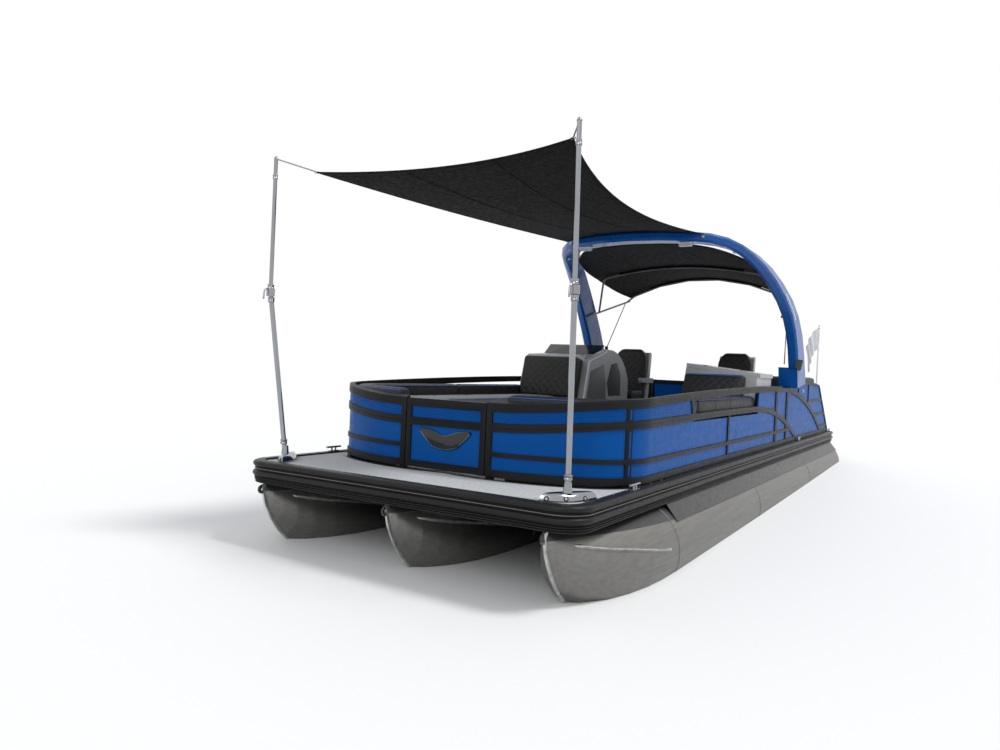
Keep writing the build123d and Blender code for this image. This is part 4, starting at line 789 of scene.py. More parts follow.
class BOAT_OT_fence(bpy.types.Operator):
    """Add the ribbed bands, the rails' beads, the post strips, and the gate's rivets, ribs and bare shield"""
    bl_idname = "boat.fence"
    bl_label = "Fence trim"
    bl_options = {"REGISTER", "UNDO"}

    def execute(self, context):
        sizes = context.scene.boat_sizes
        rib = ((0.0, 0.0), (RIB_DEPTH, RIB_EDGE), (RIB_DEPTH, sizes.rib - RIB_EDGE), (0.0, sizes.rib),
               (RIB_ROOT, sizes.rib), (RIB_ROOT, 0))
        for name, hand in SIDES:
            line = fence_line(BAND_INSET, BAND_BACK, BESIDE_GATE)
            ribbed = []
            for k in range(RIBS):
                def level(x, k=k):
                    low, high = second_height(x), top_height(x) - BAND_DROP
                    return low + (high - low) * (k + 0.5) / RIBS - sizes.rib / 2
                ribbed.append(along_fence("rib", line, level, rib, "paint", hand))
            joined("ribbed_band_" + name, ribbed)
            outer = fence_line(0.0, BEADS_BACK[hand], BESIDE_GATE)
            under_rails = [lambda x, drop=drop: top_height(x) - drop for drop in TOP_BEADS]
            under_rails.append(lambda x: second_height(x) - SECOND_BEAD)
            joined("rail_beads_" + name, [along_fence("bead", outer, heights, BEAD, "rails", hand)
                                          for heights in under_rails])
            point, way = min(fence_line(0, 2.9, steps=200), key=lambda pair: abs(pair[0].x - POST_X))
            origin = Vector((point.x, hand * point.y, DECK)) + Vector((way.x, hand * way.y, 0)) * 0.0003
            right = Vector((-way.y, hand * way.x, 0)) * hand
            joined("corner_post_strip_" + name,
                   [plate("strip", upright(STRIP_HALF, low, high), (origin, right, (0, 0, 1)), STRIP_DEPTH,
                          "paint", bevel=0.001) for low, high in STRIP_LEVELS])
        joined("gate_rivets", [turned("rivet", RIVET, (FENCE_FRONT, side * RIVET_SIDE,
                                                       DECK + RIVET_FIRST + k * RIVET_STEP), (1, 0, 0),
                                      "rails", "bow_gate", sides=8) for side in (-1, 1) for k in range(9)])
        gate_ribs = []
        for k in range(RIBS):
            low = DECK + GATE_BAND + GATE_BAND_HEIGHT * (k + 0.5) / RIBS - sizes.rib / 2
            place = ((FENCE_FRONT - GATE_RIB_IN, 0, 0), (0, 1, 0), (0, 0, 1))
            gate_ribs.append(plate("rib", upright(GATE_RIB_HALF, low, low + sizes.rib), place, GATE_RIB_DEPTH,
                                   "paint", "bow_gate", 0.001))
        joined("gate_ribs", gate_ribs)
        outline = SHIELD + [(-a, b) for a, b in reversed(SHIELD[1:-1])]
        inner = [(a * 0.93, SHIELD_HEART + (b - SHIELD_HEART) * 0.86) for a, b in outline]
        for name, shape, inset, depth, made, bevel in (
                ("gate_shield_edge", outline, 0.0095, 0.008, "rails", 0.0025),
                ("gate_shield", inner, 0.004, 0.0045, "badge", 0.0015)):
            place = ((FENCE_FRONT - inset, 0, SHIELD_FOOT), (0, 1, 0), (0, 0, 1))
            plate(name, shape, place, depth, made, "bow_gate", bevel)
        bright = [Vector((FENCE_FRONT + 0.0006, a * 0.955,
                          SHIELD_FOOT + SHIELD_HEART + (b - SHIELD_HEART) * 0.91)) for a, b in outline]
        rod("gate_shield_line", bright, 0.0018, "chrome", "bow_gate", 6, True)
        return {"FINISHED"}


# Points near the arch's face where its light strip runs, where its latches sit and where its plate lies
STRIP_PATH = ((-1.08, 1.262, 1.86), (-1.0, 1.252, 1.95), (-0.9, 1.238, 2.04), (-0.8, 1.222, 2.12))
LATCHES = ((0.478, 0.707, 2.543), (0.10, 0.93, 2.48))
LATCH = ((0.0, 0.014), (0.012, 0.013), (0.016, 0.009), (0.017, -0.002))
ACCESS = (-1.26, 1.33, 1.361)
ACCESS_HALF = (0.045, 0.065)
CUT_CORNERS = ((-1, -0.8), (-0.8, -1), (0.8, -1), (1, -0.8), (1, 0.8), (0.8, 1), (-0.8, 1), (-1, 0.8))


def nearest(tree, place):
    """A surface's nearest point to a place, and its outward way there."""
    return tree.find_nearest(Vector(place))[:2]


class BOAT_OT_arch(bpy.types.Operator):
    """Smooth the arch and add its light strips, latches and access plates"""
    bl_idname = "boat.arch"
    bl_label = "Arch"
    bl_options = {"REGISTER", "UNDO"}

    def execute(self, context):
        arch = smooth_copy("arch", "arch_cover", "arch_paint", 33)
        tree = surface_tree(arch)
        lights, latches, plates = [], [], []
        for name, hand in SIDES:
            path = []
            for x, y, z in STRIP_PATH:
                near, normal = nearest(tree, (x, hand * y, z))
                path.append(near + normal * 0.001)
            lights.append(rod("strip", path, 0.007, "white"))
            for x, y, z in LATCHES:
                near, normal = nearest(tree, (x, hand * y, z))
                latches.append(turned("latch", LATCH, near, normal, "chrome", sides=20))
            near, normal = nearest(tree, (ACCESS[0], hand * ACCESS[1], ACCESS[2]))
            across = Vector((0, 0, 1)).cross(normal).normalized()
            up = normal.cross(across)
            outline = [(a * ACCESS_HALF[0], b * ACCESS_HALF[1]) for a, b in CUT_CORNERS]
            plates.append(plate("access", outline, (near - normal * 0.002, across, up), 0.006, "badge",
                                bevel=0.0015))
        joined("arch_light_strips", lights)
        joined("arch_latches", latches)
        joined("arch_access_plates", plates)
        return {"FINISHED"}


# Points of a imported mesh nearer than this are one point
SAME_POINT = 0.00002


def smooth_copy(node, name, made, sharp, body="hull"):
    """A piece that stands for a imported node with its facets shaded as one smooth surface."""
    form = bmesh.new()
    form.from_mesh(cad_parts[node].data)
    bmesh.ops.remove_doubles(form, verts=form.verts, dist=SAME_POINT)
    mesh = bpy.data.meshes.new(name)
    form.to_mesh(mesh)
    form.free()
    for attribute in [a for a in mesh.attributes if a.name == "custom_normal"]:
        mesh.attributes.remove(attribute)
    piece = placed(name, mesh, made, body, sharp)
    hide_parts(node)
    return piece


def surface_tree(piece, finished=False):
    """A piece's faces, to find points on them; a finished piece is taken with its modifiers."""
    mesh = piece.data
    if finished:
        mesh = piece.evaluated_get(bpy.context.evaluated_depsgraph_get()).to_mesh()
    form = bmesh.new()
    form.from_mesh(mesh)
    tree = BVHTree.FromBMesh(form)
    form.free()
    return tree


def sheet_piece(name, rows, thickness, made):
    """A thin sheet of cloth over rows of points."""
    count = len(rows[0])
    points = [point for row in rows for point in row]
    faces = [(r * count + k, r * count + k + 1, (r + 1) * count + k + 1, (r + 1) * count + k)
             for r in range(len(rows) - 1) for k in range(count - 1)]
    piece = piece_of(name, points, faces, made, sharp=60)
    solid = piece.modifiers.new("thickness", "SOLIDIFY")
    solid.thickness = thickness
    solid.offset = 0
    return piece


# The sail's side at its front, middle and back: X and half width
SAIL_SIDE = ((3.87, 1.0), (2.25, 0.69), (0.50, 0.73))
# How far its front and back edges are cut hollow, and how it sags and drops at the back corners
FRONT_HOLLOW = -0.18
BACK_HOLLOW = 0.10
SAIL_SAG = -0.014
CORNER_DROP = -0.062
# Its height over the deck as a curve about one place along X: level, slope and bend
SAIL_MIDDLE = 2.2
SAIL_CURVE = (1.989, -0.03138, 0.03403)
SAIL_SEAMS = 0.36
# The rings at its front and back corners: radius, how far they are squashed, and how they lean
CORNER_RINGS = ((0.016, 0.9, 0.2), (0.018, 1.0, 0.0))


def sail_point(u, v):
    """A point of the sail: u from its front edge to its back edge, v from side to side."""
    weights = ((1 - u) * (1 - 2 * u), 4 * u * (1 - u), u * (2 * u - 1))
    x, y = (sum(weight * row[k] for weight, row in zip(weights, SAIL_SIDE)) for k in (0, 1))
    x += (1 - v * v) * (FRONT_HOLLOW * (1 - u) ** 2 + BACK_HOLLOW * u * u)
    run = x - SAIL_MIDDLE
    level, fall, bend = SAIL_CURVE
    sag = SAIL_SAG * (1 - v * v) * 4 * u * (1 - u)
    return Vector((x, v * y, DECK + level + fall * run + bend * run * run + sag + CORNER_DROP * v * v * u**4))


def across_cloth(count):
    """Places from side to side of a cloth, -1 to 1."""
    return [-1 + 2 * k / count for k in range(count + 1)]


def along_cloth(count):
    """Places along a cloth, 0 to 1."""
    return [k / count for k in range(count + 1)]


def hem_of(name, point, radius):
    """The hem round a cloth's four edges."""
    edges = [[point(u, v) for v in across_cloth(30)] for u in (0, 1)]
    edges += [[point(u, v) for u in along_cloth(40)] for v in (-1, 1)]
    return joined(name, [rod("hem", edge, radius, "cloth", sides=8) for edge in edges])


def seams_of(point, side, radius, drop=0.0):
    """The two seams along a cloth, as far out as a share of its half width."""
    under = Vector((0, 0, drop))
    return [rod("seam", [point(u, v) - under for u in along_cloth(40)], radius, "cloth", sides=6)
            for v in (-side, side)]


class BOAT_OT_sail(bpy.types.Operator):
    """Stretch the bow shade sail between the arch and the masts"""
    bl_idname = "boat.sail"
    bl_label = "Shade sail"
    bl_options = {"REGISTER", "UNDO"}

    def execute(self, context):
        sizes = context.scene.boat_sizes
        rows = [[sail_point(u, v) for v in across_cloth(44)] for u in along_cloth(60)]
        cloth = sheet_piece("shade_sail", rows, 0.002, "cloth")
        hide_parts("sail")
        hems = hem_of("shade_sail_hem", sail_point, 0.0045)
        seams = seams_of(sail_point, SAIL_SEAMS, sizes.seam, 0.001)
        seams.append(rod("seam", [sail_point(0.03, 0.97 * v) for v in across_cloth(30)], sizes.seam * 0.6,
                         "cloth", sides=6))
        stitched = joined("shade_sail_seams", seams)
        rings = []
        for hand in (-1, 1):
            for end, (radius, squash, lean) in enumerate(CORNER_RINGS):
                ring = circle(sail_point(end, hand), radius, 20, other=Vector((0, squash, lean)))
                rings.append(rod("ring", ring, 0.0028, "chrome", closed=True))
        joined("shade_sail_rings", rings)
        return {"FINISHED"}


# The canopy's crown and side heights over the deck against X, and its half width against X
CANOPY_SECTIONS = ((-1.96, 1.972, 1.70), (-0.96, 2.0, 1.86), (-0.12, 2.03, 1.93), (0.47, 2.04, 1.995))
CANOPY_EDGE = ((-1.94, 0.99), (-1.5, 1.03), (-0.96, 1.035), (-0.57, 1.0), (-0.35, 0.95), (-0.06, 0.855),
               (0.225, 0.68), (0.34, 0.52))
CANOPY_REACH = 1.05
CANOPY_BACK = -1.94
CANOPY_LENGTH = 2.28
# How far its front edge bows out, where its bows hold it up, and how far it sags between them
FRONT_BOW = 0.09
BOW_PLACES = (-0.94, -1.9)
SAG_RUN = 0.45
CANOPY_SAG = -0.007
# The cloth's middle stands this far under the solid's crown
CLOTH_UNDER = 0.004
CANOPY_SEAMS = 0.45
# The sleeves that hold the bows: their places along the cloth, their reach, their drop and their radius
SLEEVE_PLACES = (0.018, 0.445)
SLEEVE_REACH = 0.72
SLEEVE_DROP = Vector((0, 0, 0.013))
SLEEVE_RADIUS = 0.0125


def canopy_height(x, y):
    """The canopy's height: a round crown over its sides."""
    crown, edge = between(CANOPY_SECTIONS, x)
    rise = crown - edge
    radius = (CANOPY_REACH**2 + rise**2) / (2 * rise)
    return DECK + crown - radius + math.sqrt(radius**2 - y * y) - CLOTH_UNDER


def canopy_point(t, v):
    """A point of the canopy: t from its back to its front, v from side to side."""
    x = CANOPY_BACK + CANOPY_LENGTH * t
    half = smoothly(CANOPY_EDGE, x)[0]
    x += FRONT_BOW * (1 - v * v) * max(0.0, (t - 0.7) / 0.3) ** 2
    tight = min(*(abs(x - place) for place in BOW_PLACES), SAG_RUN) / SAG_RUN
    slack = CANOPY_SAG * math.sin(min(1.0, tight) * math.pi / 2) ** 2 * (1 - abs(v) ** 3)
    return Vector((x, v * half, canopy_height(x, v * half) + slack))


class BOAT_OT_canopy(bpy.types.Operator):
    """Stretch the canopy over its bows and add its seams, hem and sleeves"""
    bl_idname = "boat.canopy"
    bl_label = "Canopy"
    bl_options = {"REGISTER", "UNDO"}

    def execute(self, context):
        sizes = context.scene.boat_sizes
        rows = [[canopy_point(t, v) for v in across_cloth(44)] for t in along_cloth(56)]
        cloth = sheet_piece("canopy_cloth", rows, 0.002, "cloth")
        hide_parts("canopy")
        hem = hem_of("canopy_hem", canopy_point, 0.005)
        seam = joined("canopy_seams", seams_of(canopy_point, CANOPY_SEAMS, sizes.seam))
        sleeves = [[canopy_point(t, SLEEVE_REACH * v) - SLEEVE_DROP for v in across_cloth(24)]
                   for t in SLEEVE_PLACES]
        joined("canopy_sleeves", [rod("sleeve", sleeve, SLEEVE_RADIUS, "cloth") for sleeve in sleeves])
        return {"FINISHED"}


# The flag's two sides, its staff, the way it blows and the way its folds turn
FLAG_HOIST = 0.305
STAFF = Vector((-4.07, 1.05, 0))
STAFF_TOP = DECK + 1.49
BLOWN = Vector((0.527, -0.85, 0))
FOLDED = Vector((0.85, 0.527, 0))
RING_LEVELS = (1.18, 1.33, 1.48)
RING_RADIUS = 0.013
# How it hangs: how far out it blows and how soon, how far it droops, and how deep its folds are
FLAG_OUT = 0.165
FLAG_EASE = 2.2
FLAG_DROOP = 0.350
FOLD_DEPTH = 0.031
LONG_FOLD = 0.010


def flag_point(a, b):
    """A point of the limp flag: a down the hoist, b out along the fly."""
    blown = (1 - math.exp(-FLAG_EASE * b)) / (1 - math.exp(-FLAG_EASE))
    out = RING_RADIUS + FLAG_OUT * blown * (1 - 0.35 * a)
    drop = FLAG_DROOP * b ** 1.15
    fold = FOLD_DEPTH * b ** 0.5 * math.sin(2 * math.pi * (3.3 * b + 0.3 * a))
    fold += LONG_FOLD * math.sin(7 * b + 4 * a) * b
    return STAFF + BLOWN * out + FOLDED * fold + Vector((0, 0, STAFF_TOP - a * FLAG_HOIST - drop))


class BOAT_OT_flag(bpy.types.Operator):
    """Hang the bare flag from its staff by its rings"""
    bl_idname = "boat.flag"
    bl_label = "Flag"
    bl_options = {"REGISTER", "UNDO"}

    def execute(self, context):
        rows = [[flag_point(a, b) for b in along_cloth(48)] for a in along_cloth(24)]
        cloth = sheet_piece("bare_flag", rows, 0.0012, "flag")
        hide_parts("flag")
        hem = rod("flag_hem", [flag_point(a, 0.0) for a in along_cloth(20)], 0.004, "flag", sides=8)
        rings = [circle(STAFF + Vector((0, 0, DECK + level)), RING_RADIUS, 16) for level in RING_LEVELS]
        joined("flag_rings", [rod("ring", ring, 0.002, "chrome", closed=True) for ring in rings])
        return {"FINISHED"}


# The three tubes and their Y, their radius, their axis's level, and the X of their weld beads
TUBES = (("tube_port", 1.085), ("tube_centre", 0.0), ("tube_starboard", -1.085))
TUBE_RADIUS = 0.3175
TUBE_AXIS = 0.04
WELDS = (2.876, 0.66, -1.78)
# A strake's line on a nose: X, distance from the tube's middle, and level
STRAKE_PATH = ((3.983, 0.094, 0.257), (3.880, 0.136, 0.232), (3.726, 0.190, 0.204), (3.443, 0.260, 0.162),
               (3.201, 0.297, 0.122), (3.02, 0.312, 0.098))
STRAKE_STEPS = 30
STRAKE_OUT = 0.020
STRAKE_ROOT = -0.004
# The stem's line at the front of a nose, X and level, and the section of the strip that caps it
STEM_LINE = ((4.173, 0.337), (4.163, 0.285), (4.145, 0.22), (4.118, 0.16), (4.07, 0.078), (4.01, 0.0),
             (3.93, -0.073), (3.84, -0.137), (3.74, -0.19), (3.6, -0.237), (3.45, -0.266), (3.3, -0.281))
STEM_SECTION = ((0.0035, -0.0075), (0.0035, 0.0075), (-0.02, 0.0105), (-0.032, 0.009), (-0.032, -0.009),
                (-0.02, -0.0105))
# A near-black strip on the deck along the fence, which is a painted shadow of the fence: how far it runs out
# and in from the fence, and the deck's edge that ends it
PAINTED_SHADOW_OUT = 0.028
PAINTED_SHADOW_IN = -0.06
PAINTED_SHADOW_SIDE = 1.246


def strake_rings(tree, side, hand):
    """Sections of a strake laid on a tube's nose, which fade in at the front and out at the back."""
    rings = []
    for k in range(STRAKE_STEPS + 1):
        t = k / STRAKE_STEPS * (len(STRAKE_PATH) - 1)
        i = min(int(t), len(STRAKE_PATH) - 2)
        spot = Vector(STRAKE_PATH[i]).lerp(Vector(STRAKE_PATH[i + 1]), t - i)
        near, normal = nearest(tree, (spot.x, side + hand * spot.y, spot.z))
        grow = min(1.0, k / 4, (STRAKE_STEPS - k) / 3 + 0.15)
        down = Vector((0, 0, -1))
        down = (down - normal * down.dot(normal)).normalized()
        root, tip = near + normal * STRAKE_ROOT, near + normal * STRAKE_OUT * grow
        rings.append([root - down * 0.012, tip + down * 0.001, tip + down * 0.006, root + down * 0.014])
    return rings


def stem_rings(side):
    """Sections of the strip along a nose's stem."""
    rings = []
    for k, (x, z) in enumerate(STEM_LINE):
        ahead, behind = STEM_LINE[min(k + 1, len(STEM_LINE) - 1)], STEM_LINE[max(k - 1, 0)]
        way = Vector((ahead[0] - behind[0], 0, ahead[1] - behind[1])).normalized()
        out = Vector((-way.z, 0, way.x))
        rings.append([Vector((x, side, z)) + out * a + Vector((0, b, 0)) for a, b in STEM_SECTION])
    return rings


class BOAT_OT_hull(bpy.types.Operator):
    """Add the strakes, welds and stem strips, and a near-black strip on the deck along the fence that is a
    painted shadow
    """
    bl_idname = "boat.hull"
    bl_label = "Hull trim"
    bl_options = {"REGISTER", "UNDO"}

    def execute(self, context):
        sizes = context.scene.boat_sizes
        strakes, welds = [], []
        for name, side in TUBES:
            tree = surface_tree(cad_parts[name])
            strakes += [swept("strake", strake_rings(tree, side, hand), "bright", sharp=20)
                        for hand in (-1, 1)]
            for place in WELDS:
                ring = circle(Vector((place, side, TUBE_AXIS)), TUBE_RADIUS, 64, PORT_WAY, Vector((0, 0, 1)))
                welds.append(rod("weld", ring, sizes.weld, "metal", sides=6, closed=True))
        joined("stem_strips", [swept("stem", stem_rings(side), "bright", sharp=40) for name, side in TUBES])
        joined("tube_strakes", strakes)
        joined("tube_welds", welds)
        # A near-black strip laid on the deck at the fence's foot: a painted shadow of the fence, in the black
        # of the side skirts
        outer = fence_line(0.0, 2.6, front_side=0.0, steps=16)
        edges = [point + way * reach for reach, line in ((PAINTED_SHADOW_OUT, outer), (PAINTED_SHADOW_IN, outer[::-1]))
                 for point, way in line]
        shadow_strips = [plate("painted_shadow_strip", [(edge.x, hand * min(edge.y, PAINTED_SHADOW_SIDE)) for edge in edges],
                         ((0, 0, DECK + 0.0004), (1, 0, 0), (0, 1, 0)), 0.0035, "skirt", bevel=0)
                   for name, hand in SIDES]
        joined("deck_painted_shadow", [mended(piece) for piece in shadow_strips])
        return {"FINISHED"}


# A plinth's layers: how far each stands in from the outline, and its height over the deck
PLINTH_LAYERS = ((0.0, 0.0003), (0.0, 0.012), (0.004, 0.022), (0.012, 0.036), (0.024, 0.045), (0.045, 0.050),
                 (0.075, 0.0525))
# Its outline on the port side: the two ends, and the middles of the outer and the inner edge
PLINTH_FRONT = Vector((4.084, 0.996, 0))
PLINTH_BACK = Vector((3.774, 1.200, 0))
PLINTH_OUTER = Vector((3.978, 1.142, 0))
PLINTH_INNER = Vector((3.905, 1.062, 0))
# The masts' collars, level and radius; the one between the lever's levels carries a lever
COLLARS = ((1.69, 0.023), (1.60, 0.023), (0.615, 0.024), (2.45, 0.018))
LEVER_LEVELS = (1.62, 2)
LEVER = ((0.018, 0, -0.02), (0.045, 0.0, -0.016), (0.058, 0.0, -0.04), (0.06, 0.0, -0.09))
# Points near the plinths' outer faces where their lamps sit
CASTING_LAMPS = ((4.067, 1.035, 0.500), (3.999, 1.121, 0.502), (3.886, 1.187, 0.498))
LENS = ((0.0, 0.004), (0.006, 0.0035), (0.009, 0.001), (0.0095, -0.003))
EYELET = ((0.0, -0.004), (0.009, 0.001), (0.011, 0.004), (0.0145, 0.003), (0.0165, -0.004))


def bulged(start, middle, end, steps=14):
    """Points of a curve from a start through a middle towards an end."""
    bulge = middle - (start + end) / 2
    return [start.lerp(end, k / steps) + bulge * 4 * (k / steps) * (1 - k / steps) for k in range(steps)]


def plinth_rings(hand):
    """A plinth's layers: a bulged outer edge and a shallower inner one, drawn in towards the top."""
    outline = bulged(PLINTH_FRONT, PLINTH_OUTER, PLINTH_BACK)
    outline += bulged(PLINTH_BACK, PLINTH_INNER, PLINTH_FRONT)
    heart = sum(outline, Vector()) / len(outline)
    rings = []
    for inset, level in PLINTH_LAYERS:
        drawn = [point + (heart - point).normalized() * min(inset, (heart - point).length * 0.9)
                 for point in outline]
        rings.append([Vector((point.x, hand * point.y, DECK + level)) for point in drawn])
    return rings


def mast_centre(tree, level, hand):
    """Centre of a mast at a level, from rays that meet it from ahead and from behind."""
    hits = []
    for x, way in ((6, -1), (2, 1)):
        for step in range(-40, 41):
            hit = tree.ray_cast(Vector((x, hand * (1.0 + step * 0.008), level)), Vector((way, 0, 0)))[0]
            if hit:
                hits.append(hit)
    if not hits:
        raise RuntimeError(f"no mast found at {level} m")
    xs, ys = [hit.x for hit in hits], [hit.y for hit in hits]
    return Vector(((min(xs) + max(xs)) / 2, (min(ys) + max(ys)) / 2, level))


class BOAT_OT_masts(bpy.types.Operator):
    """Cast the masts' plinths and add the masts' collars and levers and the plinths' lamps"""
    bl_idname = "boat.masts"
    bl_label = "Mast fittings"
    bl_options = {"REGISTER", "UNDO"}

    def execute(self, context):
        plinth = joined("mast_plinths", [swept("plinth", plinth_rings(hand), "chrome", sharp=50)
                                         for name, hand in SIDES])
        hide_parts("mast_castings")
        casting = surface_tree(plinth)
        fittings, lenses, eyelets = [], [], []
        for name, hand in SIDES:
            mast = surface_tree(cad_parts["mast_" + name])
            for level, radius in COLLARS:
                centre = mast_centre(mast, level, hand)
                collar = ((radius - 0.009, -0.02), (radius, -0.016), (radius, -0.004), (radius - 0.003, 0),
                          (radius, 0.004), (radius, 0.016), (radius - 0.009, 0.02))
                fittings.append(turned("collar", collar, centre, (0, 0, 1), "chrome"))
                if LEVER_LEVELS[0] < level < LEVER_LEVELS[1]:
                    fittings.append(rod("lever", [centre + Vector(step) for step in LEVER], 0.006, "chrome"))
            for x, y, z in CASTING_LAMPS:
                near, normal = nearest(casting, (x, hand * y, z))
                lenses.append(turned("lens", LENS, near, normal, "lens", sides=16))
                eyelets.append(turned("eyelet", EYELET, near, normal, "badge", sides=20))
        joined("mast_fittings", fittings)
        joined("casting_eyelets", eyelets)
        joined("casting_lamps", lenses)
        return {"FINISHED"}


# The helm console's side that faces the boat's middle: its plane, and the outlines of the panels on it
HELM_SIDE = ((0, -0.4002, DECK), (1, 0, 0), (0, 0, 1))
HELM_PANELS = (
    ("helm_facet", [(0.53, 0.82), (0.63, 0.44), (0.665, 0.44), (0.565, 0.822), (0.10, 0.948), (0.10, 0.936)],
     "white"),
    ("helm_graphic", [(-0.30, 0.46), (0.03, 0.46), (0.08, 0.60), (-0.02, 0.80), (-0.16, 0.83), (-0.28, 0.70)],
     "hood"),
    ("helm_lower_panel", [(0.10, 0.42), (0.58, 0.42), (0.50, 0.72), (0.18, 0.80), (0.12, 0.62)], "bench"))
PANEL_DEPTH = -0.004
# The gauges: their Y, the X and height over the deck that they lie nearest to, and their profile
GAUGE_SIDES = (-0.60, -0.74, -0.88, -1.02)
GAUGE_NEAR = (-0.09, 0.885)
GAUGE = ((0.0, 0.010), (0.038, 0.010), (0.043, 0.014), (0.048, 0.010), (0.050, -0.004))
# The dash's hood: its starboard end, its width, its rise in the middle and its steps
HOOD_START = -1.09
HOOD_WIDTH = 0.64
HOOD_RISE = 0.055
HOOD_STEPS = 12
# The throttle's lever, height over the deck, and its knob
THROTTLE = ((-0.16, -0.50, 0.845), (-0.165, -0.50, 0.90), (-0.15, -0.50, 0.955), (-0.13, -0.515, 0.985))
KNOB = ((0.0, -0.022), (0.013, -0.02), (0.018, -0.008), (0.018, 0.012), (0.012, 0.022), (0.0, 0.024))
# The port console's cup rings: their X and Y, their radius, and the console's top, which falls outboard
CUP_X = -0.21
CUP_SIDES = (0.60, 0.98)
CUP_RADIUS = 0.044
CUP_TOP = DECK + 0.851
TOP_INNER = 0.43
TOP_FALL = 0.08 / 0.73
# The steering wheel's middle, axle and cap, and its rim's radius, thickness and stitches
WHEEL_CENTRE = Vector((-0.306, -0.70, DECK + 0.764))
WHEEL_AXLE = Vector((-0.81, 0, 0.587)).normalized()
WHEEL_CAP = ((0.0, 0.024), (0.024, 0.0225), (0.036, 0.018), (0.0405, 0.0155))
WHEEL_RADIUS = 0.178
WHEEL_GRIP = 0.0135
STITCHES = 72


class BOAT_OT_helm(bpy.types.Operator):
    """Add the helm's panels, gauges, hood, throttle and wheel trims, and the port console's cup rings"""
    bl_idname = "boat.helm"
    bl_label = "Helm and console trim"
    bl_options = {"REGISTER", "UNDO"}

    def execute(self, context):
        for name, outline, made in HELM_PANELS:
            plate(name, outline, HELM_SIDE, PANEL_DEPTH, made, bevel=0.0015)
        tree = surface_tree(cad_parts["helm_console"])
        gauges = []
        for y in GAUGE_SIDES:
            near, normal = nearest(tree, (GAUGE_NEAR[0], y, DECK + GAUGE_NEAR[1]))
            gauges.append(turned("gauge", GAUGE, near, normal, "screen", sides=32))
        joined("helm_gauges", gauges)
        hood = []
        for k in range(HOOD_STEPS + 1):
            y = HOOD_START + HOOD_WIDTH * k / HOOD_STEPS
            lift = HOOD_RISE * (1 - (2 * k / HOOD_STEPS - 1) ** 4)
            section = ((-0.07, 0.885), (-0.10, 0.905 + lift), (0.02, 0.93 + lift),
                       (0.13, 0.902 + lift * 0.3), (0.13, 0.885))
            hood.append([Vector((x, y, DECK + z)) for x, z in section])
        swept("dash_hood", hood, "hood", sharp=50)
        throttle = [Vector((x, y, DECK + z)) for x, y, z in THROTTLE]
        rod("throttle_lever", throttle, 0.008, "chrome")
        turned("throttle_knob", KNOB, throttle[-1], (0.2, 0, 1), "hood")
        rings = []
        for y in CUP_SIDES:
            middle = Vector((CUP_X, y, CUP_TOP - TOP_FALL * (y - TOP_INNER)))
            ring = circle(middle, CUP_RADIUS, 36, other=Vector((0, 1, -TOP_FALL)))
            rings.append(rod("ring", ring, 0.005, "chrome", closed=True))
        joined("cup_rings", rings)
        turned("wheel_cap", WHEEL_CAP, WHEEL_CENTRE, WHEEL_AXLE, "chrome", "helm_wheel")
        side = WHEEL_AXLE.orthogonal().normalized()
        stitches = []
        for out in circle(Vector(), 1, STITCHES, side, WHEEL_AXLE.cross(side)):
            near = WHEEL_CENTRE + out * (WHEEL_RADIUS - WHEEL_GRIP)
            along = WHEEL_AXLE.cross(out)
            path = [near + WHEEL_AXLE * 0.004 - along * 0.002, near - out * 0.0012,
                    near - WHEEL_AXLE * 0.004 + along * 0.002]
            stitches.append(rod("stitch", path, 0.0009, "piping", "helm_wheel", 5))
        joined("wheel_stitches", stitches)
        return {"FINISHED"}


def islands(node):
    """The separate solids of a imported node, as meshes."""
    form = bmesh.new()
    form.from_mesh(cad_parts[node].data)
    bmesh.ops.remove_doubles(form, verts=form.verts, dist=SAME_POINT)
    left = set(form.faces)
    out = []
    while left:
        seed = min(left, key=lambda face: face.index)
        group, queue = {seed}, [seed]
        while queue:
            for edge in queue.pop().edges:
                for face in edge.link_faces:
                    if face not in group:
                        group.add(face)
                        queue.append(face)
        left -= group
        verts = sorted({vert for face in group for vert in face.verts}, key=lambda vert: vert.index)
        place = {vert: k for k, vert in enumerate(verts)}
        mesh = bpy.data.meshes.new(node)
        faces = sorted(group, key=lambda face: face.index)
        corners = [[place[vert] for vert in face.verts] for face in faces]
        mesh.from_pydata([vert.co[:] for vert in verts], [], corners)
        out.append(mesh)
    form.free()
    return out


# An edge turned by more than this many radians is a cushion's sewn edge
SEWN_EDGE = 0.5


def sewn_edges(form):
    """The edges where a cushion's faces are sewn together."""
    return [edge for edge in form.edges if len(edge.link_faces) == 2 and edge.calc_face_angle(0) > SEWN_EDGE]


def sharp_points(mesh, step=0.01):
    """Points along a solid's sharp edges."""
    form = bmesh.new()
    form.from_mesh(mesh)
    points = []
    for edge in sewn_edges(form):
        a, b = (vert.co.copy() for vert in edge.verts)
        count = max(1, int((b - a).length / step))
        points += [a.lerp(b, k / count) for k in range(count + 1)]
    form.free()
    return points


def quilt(point, pitch=0.085, width=0.28):
    """How deep the diamond quilting is at a point, from 0 to 1."""
    lines = [abs(math.sin(math.pi * (point.y + hand * point.z) / pitch)) for hand in (-1, 1)]
    return max(0.0, 1 - min(lines) / width) ** 1.5


# How a cushion is stuffed: rounds of smoothing, how far in the crown is full, how far an edge draws in, how
# much of its foot stays flat, and how far a chair back's shoulders narrow
SMOOTHINGS = 4
CROWN_RUN = 0.05
EDGE_DRAW = 0.003
FLAT_FOOT = 0.004
SHOULDER_NARROWING = 0.42
QUILT_MARGIN = 0.03


def gridded(name, mesh, voxel):
    """A solid's surface on an even grid."""
    raw = bpy.data.objects.new(name, mesh)
    bpy.context.scene.collection.objects.link(raw)
    grid = raw.modifiers.new("grid", "REMESH")
    grid.mode = "VOXEL"
    grid.voxel_size = voxel
    shape = bpy.data.meshes.new_from_object(raw.evaluated_get(bpy.context.evaluated_depsgraph_get()))
    bpy.data.objects.remove(raw, do_unlink=True)
    return shape


